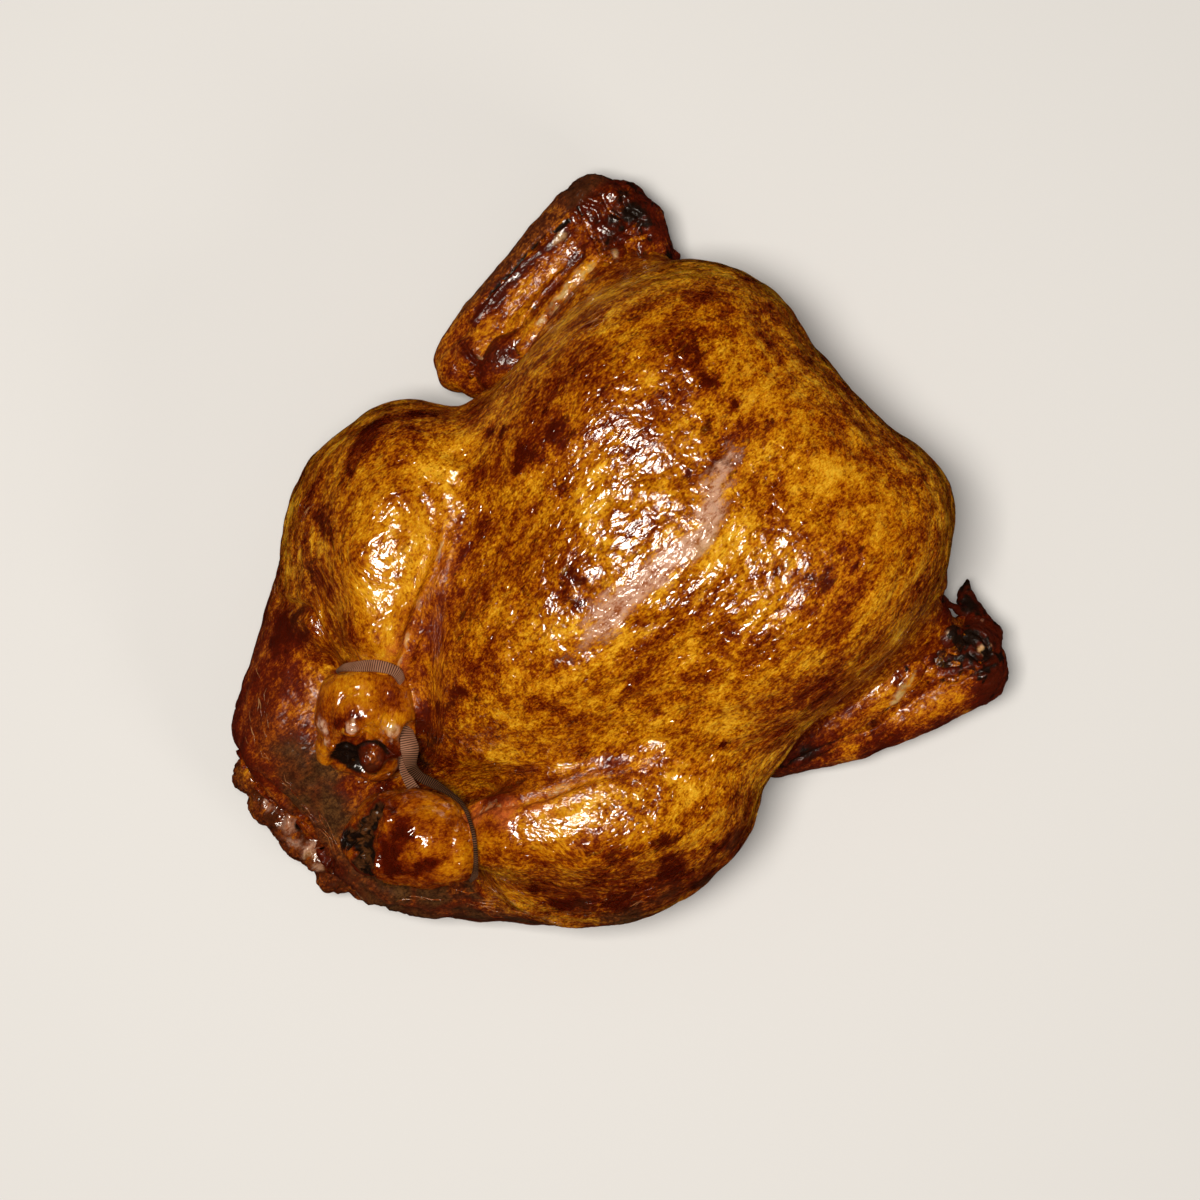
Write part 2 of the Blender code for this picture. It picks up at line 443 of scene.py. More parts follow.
# Axes of the legs, which set the way the skin is stretched.
RIGHT_LEG = [(-68, 22, 64), (-50, 34, 66), (-20, 60, 60), (-5, 69, 50)]
LEFT_LEG = [(-84, -11, 64), (-64, -26, 66), (-28, -50, 60), (-11, -58, 50)]

# Places that the skin is drawn out from: a place, the way, and how far it reaches.
FANS = [
    ((-4, 64), (0.15, 1.0), 13), ((8, 62), (-0.5, 1.0), 10), ((-10, -48), (0.55, -1.0), 10),
    ((2, -52), (0.8, -0.9), 10), ((60, -60), (1.0, 0.35), 14), ((24, 66), (1.0, 0.2), 10),
]  # fmt: skip

# The tables of spots below hold x, y, radius and strength. First the dark glazed blotches.
BLOTCHES = [
    (36, 49, 6, 1.0), (22, 50, 3.5, 0.9), (26, 38, 4, 0.6), (44, 42, 2, 0.7), (51, 38, 2, 0.9),
    (68, 36, 3, 0.9), (79, 44, 8, 0.5), (83, 38, 3, 1.0), (80, 30, 4, 0.9), (93, 27, 2, 0.8),
    (104, 27, 4, 0.5), (70, 17, 4, 0.6), (82, 19, 2, 0.9), (57, 13, 2, 0.9), (68, 7, 3.5, 0.8),
    (87, 9, 2, 0.8), (4, 6, 3.5, 0.7), (11, 11, 3, 0.6), (28, 7, 3.5, 0.5), (58, -25, 3, 0.8),
    (62, -31, 2.5, 0.8), (66, -38, 4, 1.0), (76, -42, 2, 0.9), (57, -43, 3, 0.7), (43, -39, 4, 0.4),
    (84, -46, 2, 0.7), (109, 10, 3.5, 0.5), (-18, 84, 2.5, 0.9), (-8, 87, 5, 0.7), (-4, 91, 6, 0.6),
    (14, 79, 3.5, 0.9), (9, 84, 3.5, 0.8), (18, 80, 3, 0.8), (-34, 78, 5, 0.6), (-46, 70, 7, 0.4),
    (26, 58, 3, 0.8), (23, 50, 3.5, 0.9), (21, 61, 3, 0.8), (-20, 29, 2, 0.9), (-16, 24, 3.5, 0.8),
    (-44, -21, 4, 0.7), (-25, -28, 4, 0.5), (11, -56, 2, 1.0), (-35, -58, 5, 0.6), (-40, -50, 4, 0.5),
    (-29, -71, 7.5, 0.9), (-24, -66, 5, 0.8), (-15, -65, 3, 0.6), (-10, -69, 2.5, 0.8), (-12, -77, 3, 0.8),
    (-49, -69, 8, 0.8), (-58, -59, 6, 0.8), (-63, -48, 4, 0.8), (-61, 62, 5, 0.9), (-68, 62, 6, 0.9),
    (-24, -83, 5, 0.8), (-4, -78, 4, 0.5), (-39, 12, 4, 0.9), (-47, 12, 3.5, 0.9), (-54, 11, 3.5, 0.9),
]  # fmt: skip

# Broad browning: the same, but soft. Some of it is painted shade, on the left side, under the left thigh and
# along the right thigh's edge.
BROWNING_AND_SHADE = [
    (36, -62, 14, 1.0), (-43, -75, 14, 0.8), (-81, 51, 14, 0.3), (-90, 46, 14, 0.5), (-96, 34, 12, 0.5),
    (-96, 20, 10, 0.3), (30, 52, 20, 0.55), (80, 38, 18, 0.45), (5, 82, 14, 0.6), (-30, 78, 16, 0.35),
    (60, 60, 16, 0.4), (72, -50, 22, 0.2), (36, -61, 12, 0.9), (-42, -74, 10, 0.6), (-82, 52, 12, 0.4),
    (60, -44, 12, 0.35), (-8, -28, 12, 0.3), (50, -68, 16, 0.3), (-20, -78, 14, 0.6), (-50, -62, 14, 0.6),
    (8, 30, 16, 0.3), (-40, 10, 16, 0.35), (-20, 25, 12, 0.3), (95, 0, 14, 0.25), (100, -30, 14, 0.25),
    (-60, 10, 14, 0.5), (20, 75, 14, 0.5), (-45, -18, 12, 0.5), (-58, 62, 7, 1.0), (-46, 67, 9, 0.35),
    (-28, 82, 9, 0.35), (-67, 62, 8, 1.0), (-20, 82, 9, 0.35), (-74, 49, 6, 0.4),
]  # fmt: skip

# Skin that stayed golden.
GOLDEN = [
    (-36, -47, 12, 0.5), (-22, -50, 8, 0.4), (-16, 62, 12, 0.9), (1, 63, 10, 0.8), (93, 18, 11, 0.5),
    (-13, -7, 12, 0.5), (37, 21, 12, 0.4), (47, -14, 12, 0.3), (77, -54, 10, 0.6), (-14, -70, 8, 0.6),
    (20, 41, 3.5, 0.9), (28, 43, 3, 0.9), (66, 42, 4, 0.7), (87, 30, 4, 0.6), (97, 17, 8, 0.7),
    (76, -9, 9, 0.4), (87, -16, 9, 0.4), (96, -11, 7, 0.8), (91, -28, 7, 0.8), (92, 3, 10, 0.7),
    (92, 18, 9, 0.8), (94, -41, 7, 0.3), (59, -43, 9, 0.15), (70, 20, 9, 0.3), (-10, 77, 7, 0.6),
    (6, -9, 4, 0.9), (46, -14, 10, 0.9), (2, -30, 8, 0.2), (87, -35, 9, 0.6), (72, -33, 3.5, 0.8),
    (-2, -56, 8, 0.8), (39, 34, 6, 0.8), (0, 66, 10, 0.7), (12, 64, 8, 0.6), (-30, 58, 12, 0.8),
    (-38, 46, 8, 0.7), (-24, 4, 10, 0.6), (-30, -10, 9, 0.3), (-38, -40, 10, 0.8), (-62, 34, 8, 0.6),
    (-80, -24, 7, 0.7), (20, -50, 12, 0.5),
]  # fmt: skip

# Painted shade: darker skin in the folds between each leg and the belly, on the rump under the thigh's edge,
# and under the knuckles.
SHADED = [
    (-58, 8, 9, 0.8), (-50, 8, 7, 0.45), (-36, 15, 5, 0.3), (-52, 0, 8, 0.45), (-66, 6, 10, 0.9),
    (-32, 28, 6, 0.7), (-24, 36, 6, 0.75), (-14, 43, 5, 0.75), (-6, 47, 3, 0.5), (-44, 24, 4, 0.5),
    (-50, -20, 6, 0.5), (-36, -27, 6, 0.45), (-20, -33, 6, 0.35), (-78, 8, 9, 0.7), (-80, 76, 6, 1.0),
    (-72, 68, 8, 0.6), (-64, 58, 6, 0.7), (-62, 48, 5, 0.8), (-100, 14, 8, 0.3), (-90, 62, 14, 0.65),
    (-78, 52, 11, 0.6), (-84, 40, 9, 0.55), (-74, 62, 8, 0.5), (-76, -38, 8, 0.6), (-72, -52, 8, 0.5),
    (-96, 28, 8, 0.3),
]  # fmt: skip

# Thin skin over the shank, an orange pink.
ROSY = [
    (-58, -20, 5, 1.0), (-52, -25, 6, 0.9), (-44, -30, 6, 0.6), (-47, 28, 4, 0.9), (-44, 34, 5, 0.7),
    (-38, 38, 5, 0.5), (-62, -26, 4, 0.5), (-66, 12, 4, 0.4),
]  # fmt: skip

# Dull dry skin on the sides that turn down and away, darkened as painted shade.
DULL_SHADED_SIDES = [
    (-97, -20, 7, 1.0), (-90, -28, 7, 1.0), (-81, -35, 6, 0.9), (-100, -10, 6, 0.8), (-104, -22, 9, 0.9),
    (-96, -32, 10, 0.9), (-86, -43, 10, 0.9), (-77, -53, 10, 0.9), (-69, -64, 9, 0.9), (-62, -72, 8, 0.9),
    (-84, -34, 8, 0.7), (-50, -76, 10, 0.8), (-36, -78, 9, 0.6), (-56, -62, 7, 0.5), (-22, -84, 9, 0.8),
    (-8, -80, 8, 0.6), (-94, 24, 9, 0.35), (-92, 8, 9, 0.5), (-104, -8, 8, 0.6), (62, -70, 10, 0.4),
    (80, -68, 9, 0.4), (42, -68, 11, 0.45), (34, -60, 9, 0.35), (24, -70, 10, 0.45), (-88, 66, 8, 0.35),
    (40, 84, 6, 0.5), (56, 80, 6, 0.4),
]  # fmt: skip

# Skin that dried dull and greyish.
DRIED = [
    (-90, 46, 12, 0.55), (-99, 38, 9, 0.6), (-26, 33, 6, 0.4), (-36, 24, 6, 0.4), (-80, 52, 9, 0.4),
    (-46, 70, 13, 0.45), (-34, 78, 9, 0.35), (-93, 32, 10, 0.95), (-95, 14, 10, 1.0), (-90, 45, 8, 0.4),
    (-97, -4, 11, 0.95), (-60, 64, 9, 0.5), (-86, 22, 8, 0.9), (-101, 22, 8, 0.9), (-102, 6, 9, 0.9),
    (-52, -74, 10, 0.3), (70, 14, 8, 0.25), (78, 8, 8, 0.35),
]  # fmt: skip

# Burnt skin in the wings' and knuckles' hollows and along the rump's edge; between the knuckles and under the
# left knuckle the char is painted shade.
CHAR_AND_SHADE = [
    (103.5, 86.5, 4, 1.3), (78, -86, 3.5, 1.0), (87, -86, 4, 1.2), (-88, 34, 7, 0.25), (-87, 24, 6, 0.3),
    (-78.5, 20, 5, 1.4), (-79, 17, 4, 1.2), (-55, 6, 5, 0.7), (-62, 5, 5, 0.8), (-70, 8, 6, 0.8),
    (-40, 14, 3, 0.5), (-80, 75, 4, 0.7), (-76, 79, 4, 0.7), (-5, -40, 2.5, 0.9), (11, -56, 1.6, 0.7),
    (-97, -21, 5, 0.5), (-89, -30, 5, 0.5), (-81, -36, 4, 0.5), (-72, -44, 4, 0.4),
]  # fmt: skip

# Skin with no glaze on it.
MATT = [
    (-86, 58, 18, 1.0), (-76, 50, 14, 1.0), (-78, 40, 10, 0.9), (64, -42, 13, 0.85), (50, -50, 10, 0.4),
    (36, 44, 12, 0.4), (57, -43, 12, 0.25), (-6, 48, 6, 0.9), (-14, 44, 8, 1.3), (-24, 36, 9, 1.3),
    (-32, 28, 9, 1.3), (-40, 20, 9, 1.3), (-47, 15, 8, 1.3), (-50, 19, 6, 1.2), (-36, -49, 12, 0.25),
    (28, 66, 10, 0.8), (44, 70, 12, 0.9), (60, 70, 12, 0.9), (76, 66, 10, 0.7),
]  # fmt: skip

# Skin with an even tone and a smooth glaze, first round the ankles.
ANKLES = [(-50, 33, 14, 1.0), (-36, 46, 12, 0.6), (-62, -22, 13, 1.0), (-48, -34, 12, 0.6)]
EVEN = [
    (-84, 56, 16, 1.0), (-90, 40, 12, 0.8), (-16, 62, 12, 0.5), (-95, 14, 14, 0.7), (90, -18, 15, 0.55),
    (92, -38, 12, 0.5), (88, 6, 10, 0.4), (-30, 32, 9, 0.8), (-16, 44, 7, 0.8),
]  # fmt: skip

# Where the thighs' skin is folded, and where the breast's is lumpy.
THIGH_FOLDS = [(-4, 64, 11, 1.0), (8, 60, 9, 1.0), (-12, -48, 9, 1.0), (2, -50, 8, 0.8), (-4, -44, 7, 0.8)]
BREAST_LUMPS = [(28, 20, 26, 1.0), (50, 18, 22, 0.9), (15, -20, 24, 1.0), (45, -20, 24, 1.0)]

# The pale streak of dry skin over the keel bone, and the low ridges under it: width, rise and way.
KEEL_STREAK = [
    (-16, 0), (-6, -3), (8, -3), (18, -1), (30, -3), (44, -3), (53, 0), (60, 4), (70, 6), (82, 6),
]  # fmt: skip
KEEL_RIDGES = [
    (1.4, 0.5, [(10, 3), (32, 4), (43, 5), (52, 4)]),
    (4.0, 0.3, [(-12, 1), (10, 0), (40, -1), (62, 3)]),
]

# Creases: width, depth, how far the edges puff up, and way.
CREASES = [
    # The bright fat line in each fold between leg and breast, then the short folds that fan from it.
    (1.6, 1.5, 0.7, [(-6, 52), (-13, 47), (-20, 43), (-27, 40), (-35, 36), (-44, 31), (-50, 26)]),
    (1.5, 1.5, 0.8, [(-61, -15), (-49, -25), (-42, -29), (-26, -35), (-19, -40), (-10, -43)]),
    (1.0, 0.7, 0.3, [(-16, -42), (-13, -48)]),
    (1.0, 0.8, 0.3, [(-12, -45), (-8, -53)]),
    (1.0, 0.6, 0.3, [(-8, -44), (-4, -49)]),
    (0.9, 1.3, 0.3, [(-9.5, -37), (-2, -42)]),
    # The thigh's edge over the rump.
    (2.0, 1.8, 0.8, [(-61, 75), (-63, 72), (-56, 62), (-58, 51), (-62, 44)]),
    # The vent's edge above the tail.
    (1.5, 1.5, 0.7, [(-104, 40), (-104, 23), (-103, 15), (-108, 3), (-108, -3)]),
]
FAT_LINES = [way for _, _, _, way in CREASES[:2]]

# The ragged edge of skin that runs from the left knuckle down the thigh.
THIGH_EDGE = [
    (-78, -31, 60), (-73, -35, 64), (-71.3, -45, 55.5), (-68.2, -58.5, 45), (-64, -68, 41), (-59, -78, 36),
]  # fmt: skip

# Bundles of thin pale folds where the skin is drawn tight: how many, how wide the bundle is, and its way.
FOLD_BUNDLES = [
    (26, 5.0, [(-101, 42), (-101.5, 30), (-101, 17), (-103.5, 3), (-105.5, -6), (-105, -12)]),
    (11, 4.5, [(-99, -17), (-94, -19), (-86, -26), (-77, -34), (-72, -43), (-68, -54)]),
    (11, 5.5, [(-100, -20), (-90, -30), (-80, -40), (-73, -50), (-66, -58)]),
    (14, 7.0, [(-84, -36), (-74, -48), (-66, -58), (-58, -66), (-48, -72)]),
    (4, 5.0, [(-56, -69), (-44, -73), (-30, -77), (-16, -80)]),
    (20, 6.0, [(-76, 71), (-84, 63), (-90, 55), (-96, 47), (-99, 40)]),
    (10, 5.0, [(-66, 73), (-58, 78), (-45, 82), (-32, 85)]),
    (12, 5.0, [(30, 69), (44, 71), (60, 69), (76, 64)]),
]

# The slanting faces where the leg bones end: a place on each, and the way it faces.
RIGHT_CUT = ((-72, 22.5, 71), (-0.46, -0.56, 0.69))
LEFT_CUT = ((-86, -4, 70), (-0.48, 0.42, 0.77))

# The finer pieces that cover the skin, and how far it is tucked under each.
COVERS = {"right_wing": 3.5, "left_wing": 3.5, "right_knuckle": 8.0, "left_knuckle": 12.0, "tail_end": 9.0}


# ---------------------------------------------------------------- the skin


def stretch_directions(skin):
    """The way the skin is drawn at each point: lengthwise, but round the sides and along the legs."""
    points, normals = skin.bare, skin.normals
    flat = np.cross(normals, (0.0, 0.0, 1.0))
    side = np.linalg.norm(flat, axis=1)
    pulls = [(np.array([[1.0, 0.0, 0.0]]), (1.0 - side) ** 2 + 0.15), (unit(flat), side**2)]
    for line in (RIGHT_LEG, LEFT_LEG):
        axis = unit(np.array(line[-1], float) - np.array(line[0], float))
        distance, _ = line_distance(points, line)
        pulls.append((axis[None, :], 5.0 * np.exp(-((distance / 22.0) ** 4))))
    for (x, y), way, reach in FANS:
        direction = unit(np.array((*way, 0.0)))
        pulls.append((direction[None, :], skin.spots(points, (x, y, reach, 9.0))))
    tensor = np.zeros((len(points), 3, 3))
    for direction, weight in pulls:
        tensor += weight[:, None, None] * direction[:, :, None] * direction[:, None, :]
    # Only what lies in the skin's own plane counts.
    plane = np.eye(3) - normals[:, :, None] * normals[:, None, :]
    return np.linalg.eigh(plane @ tensor @ plane)[1][:, :, 2]


class Comb:
    """Draws random values out along the skin's stretch, which gives its wrinkles and streaks."""

    def __init__(self, points, directions, stride):
        tree = places_tree(points)
        self.ways = []
        for sign in (1.0, -1.0):
            found = [tree.find_n(target, 3) for target in points + sign * stride * directions]
            index = np.array([[hit[1] for hit in hits] for hits in found])
            distance = np.array([[hit[2] for hit in hits] for hits in found])
            weight = 1.0 / (distance + 0.05)
            self.ways.append((index, weight / weight.sum(axis=1, keepdims=True)))

    def drawn(self, values, rounds):
        for _ in range(rounds):
            ahead, behind = ((values[index] * weight).sum(axis=1) for index, weight in self.ways)
            values = 0.4 * values + 0.3 * ahead + 0.3 * behind
        return values / max(values.std(), 1e-9)


def grain_coordinates(points):
    """Places squeezed along the stretch, so that a pattern read at them is drawn out that way."""
    squeeze = np.diag((0.4, 1.0, 1.0))
    reach = 24.0
    place = points @ squeeze
    for line in (RIGHT_LEG, LEFT_LEG):
        start, end = np.array(line[0], float), np.array(line[-1], float)
        turn = np.array(Vector(end - start).to_track_quat("X", "Z").to_matrix())
        drawn = (points - end) @ turn @ squeeze + end @ squeeze
        weight = smooth_step(-line_distance(points, line)[0], -reach, -reach * 0.7)
        place = place + weight[:, None] * (drawn - place)
    return place


# The browning field holds the real browning together with painted shade.
PAINTS = ("browning", "blotch", "golden", "keel", "char", "dry", "crinkle", "streak", "wet", "calm", "rosy")


def paint(piece, points, **fields):
    """Stores each named field for the skin's material. What isn't given is nought."""
    for name in PAINTS:
        keep_values(piece, name, np.broadcast_to(fields.get(name, 0.0), len(points)))
    keep_values(piece, "grain", grain_coordinates(points))


def faced_off(points, cut, share, sunk=0.0):
    """Flattens what stands out past the cut, as where a bone was sawn through."""
    centre, way = np.array(cut[0], float), unit(np.array(cut[1], float))
    past = np.maximum((points - centre) @ way + sunk, 0.0)
    return points - share * past[:, None] * way


def make_room(points, half_width=2.3, depth=0.55):
    """Sinks the skin under the stretch of the elastic that shows."""
    reach, edge = 6.5, 2.2
    underside, gap_start, gap_end = 60.5, 13.0, 27.0
    places, ways, _ = band_stations(0.5)
    shown = (places[:, 2] > underside) & ((places[:, 1] > gap_end) | (places[:, 1] < gap_start))
    places, ways = places[shown], ways[shown]
    tree = places_tree(places)
    moved = points.copy()
    low, high = places.min(axis=0) - reach, places.max(axis=0) + reach
    for index in np.flatnonzero(((points > low) & (points < high)).all(axis=1)):
        _, nearest, distance = tree.find(points[index])
        if distance > reach:
            continue
        offset = points[index] - places[nearest]
        rise = float(offset @ ways[nearest])
        aside = float(np.linalg.norm(offset - rise * ways[nearest]))
        if rise > -depth:
            share = 1.0 - float(smooth_step(np.array(aside), half_width, half_width + edge))
            moved[index] -= ways[nearest] * (rise + depth) * share
    return moved


def tuck_under(points, normals, cover, reach, depth=1.2):
    """Pushes the points that a finer piece covers to just below its surface."""
    tree = faces_tree(cover, MM)
    corners = np.array([vertex.co for vertex in cover.data.vertices]) / MM
    near = ((points > corners.min(axis=0) - reach) & (points < corners.max(axis=0) + reach)).all(axis=1)
    moved = points.copy()
    for index in np.flatnonzero(near):
        point = Vector(points[index])
        nearest, normal, _, _ = tree.find_nearest(point)
        outside = (point - nearest).dot(normal)
        if outside < -depth or outside > reach:
            continue
        facing = float(Vector(normals[index]).dot(normal))
        share = (1.0 - smooth_step(outside, 0.4 * reach, reach)) * smooth_step(facing, 0.1, 0.5)
        moved[index] = point + (nearest - normal * depth - point) * float(share)
    return moved


def copied_bird(settings, softening=14):
    """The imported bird's own solid, closed and made fine and smooth."""
    piece = empty_piece("roast_skin")
    piece.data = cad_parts["chicken"].data.copy()
    piece.data.materials.clear()
    alone(piece)
    bpy.ops.object.mode_set(mode="EDIT")
    bpy.ops.mesh.select_all(action="SELECT")
    bpy.ops.mesh.remove_doubles(threshold=0.01 * MM)
    bpy.ops.object.mode_set(mode="OBJECT")
    modify(piece, "SUBSURF", levels=1, render_levels=1)
    knit(piece, settings.voxel, softening)
    return piece


def build_skin(settings):
    skin = Surface(copied_bird(settings))
    bare, up = skin.bare, skin.normals[:, 2]
    comb = Comb(bare, stretch_directions(skin), 1.25 * settings.voxel / MM)
    random = np.random.default_rng(5)
    fine, wrinkle, streak = (comb.drawn(random.standard_normal(len(bare)), rounds) for rounds in (5, 14, 9))

    keel_line = skin.line(KEEL_STREAK)
    stops = (0.0, 0.1), (0.15, 0.4), (0.3, 0.95), (0.75, 0.95), (0.88, 0.5), (1.0, 0.1)
    keel = changing(bare, keel_line, *stops) * along(warped(bare, 2.2, 6.0, 3), keel_line, 5.2)
    rear = smooth_step(-bare[:, 0], 78.0, 92.0)
    flank = smooth_step(0.55 - up, 0.0, 0.5)
    thigh_folds = skin.spots(bare, *THIGH_FOLDS)

    skin.height += 0.45 * rough_lumps(bare, 13.0, 2, 2)
    skin.height += 0.30 * rough_lumps(bare, 5.0, 9, 2) * (0.6 + skin.spots(bare, *BREAST_LUMPS))
    skin.height += wrinkle * (0.10 + 0.24 * thigh_folds + 0.10 * flank) * (1.0 - 0.7 * keel)
    skin.height += fine * 0.06
    skin.height += 0.55 * rear * rough_lumps(bare, 7.0, 21, 3) + 0.22 * rear * wrinkle
    for width, depth, lip, way in CREASES:
        skin.crease(width, depth, lip, skin.line(way))
    skin.crease(1.8, -1.0, 0.0, THIGH_EDGE)
    for width, rise, way in KEEL_RIDGES:
        skin.crease(width, -rise, 0.0, skin.line(way))
    band_line = band_stations(2.0)[0]
    skin.height -= 0.9 * along(bare, np.concatenate([band_line, band_line[:1]]), 3.0)
    # All of the skin stands out a little.
    skin.height += 0.2
    skin.height += wrinkle * 0.22 * skin.spots(bare, *DULL_SHADED_SIDES)
    # Nothing is pushed through the flat spot that the bird rests on.
    skin.height *= smooth_step(bare[:, 2], -0.5, 6.0)
    points = make_room(skin.pressed())
    for cut, reach in ((RIGHT_CUT, 19.0), (LEFT_CUT, 23.0)):
        near = np.linalg.norm(points - np.array(cut[0], float), axis=1) < reach
        points[near] = faced_off(points[near], cut, 1.0, 2.5)
    for name, reach in COVERS.items():
        points = tuck_under(points, skin.normals, bpy.data.objects[name], reach)
    points = skin.finish(points)

    browned, shaded, dried, shaded_sides, golden, soft_blotch, char, rosy = (
        skin.spots(warped(bare, *raggedness), *marks)
        for marks, raggedness in (
            (BROWNING_AND_SHADE, (6.0, 16.0, 5)), (SHADED, (3.0, 9.0, 6)), (DRIED, (4.0, 9.0, 7)),
            (DULL_SHADED_SIDES, (4.0, 9.0, 9)), (GOLDEN, (3.0, 7.0, 12)), (BLOTCHES, (3.0, 6.0, 1)),
            (CHAR_AND_SHADE, (2.0, 4.0, 8)), (ROSY, (2.0, 5.0, 13)),
        )
    )  # fmt: skip
    # A blotch has a ragged edge, where the glaze ran out.
    run_out = smooth_step(soft_blotch + 0.35 * rough_lumps(bare, 2.4, 25, 3), 0.45, 0.8)
    blotch = 0.8 * soft_blotch + 0.3 * run_out
    # Painted shade: the tone is darkened low down, in the folds and on the sides that turn away; it is also
    # darker towards the tail, on top of the real browning.
    low = smooth_step(50.0 - bare[:, 2], 0.0, 30.0)
    tone = 0.04 + 0.45 * browned + 0.5 * low + 0.20 * rear + 0.6 * shaded + 0.65 * shaded_sides
    tone += 0.08 * rough_lumps(bare, 16.0, 31, 2)
    thin_lines = 0.66 * smooth_step(wrinkle, 1.7, 3.0)
    crinkle = thin_lines * np.clip(smooth_step(0.5 - up, 0.0, 0.35) + 0.9 * shaded_sides + 0.65 * rear, 0.0, 1.0)
    frayed = warped(bare, 0.9, 2.6, 10)
    broken = smooth_step(rough_lumps(bare, 5.0, 23, 2), -0.8, 0.2)
    fat_lines = skin.lines(*FAT_LINES)
    fat = broken * most(*(along(frayed, line, 1.0) for line in fat_lines))
    golden = most(golden * (1.0 - 0.85 * keel), 0.7 * fat)
    keel = most(keel, 0.62 * fat)
    matt = most(skin.spots(bare, *MATT), *(0.9 * along(bare, line, 5.0) for line in fat_lines))
    wet = 1.0 - matt - 0.65 * low - 0.6 * rear - 0.3 * keel - 0.8 * dried - 0.8 * shaded_sides
    calm = 0.7 * skin.spots(bare, *ANKLES) + 0.35 * rear + 0.5 * skin.spots(bare, *EVEN)
    paint(
        skin.piece,
        points,
        browning=tone,
        blotch=blotch,
        golden=golden,
        keel=keel,
        char=char,
        dry=np.clip(dried + 1.1 * shaded_sides, 0.0, 1.1),
        crinkle=most(crinkle, 0.9 * along(frayed, THIGH_EDGE, 0.8) * broken),
        streak=streak,
        wet=np.clip(wet, 0.05, 1.0),
        calm=np.clip(calm, 0.0, 1.0),
        rosy=rosy,
    )
    return skin.piece


# ---------------------------------------------------------------- wings, knuckles and tail


def glaze_patches(points, seed):
    """Where the glaze has run together: 1 in the pools and 0 between them."""
    return smooth_step(rough_lumps(points, 5.0, seed, 2), 0.1, 0.6)


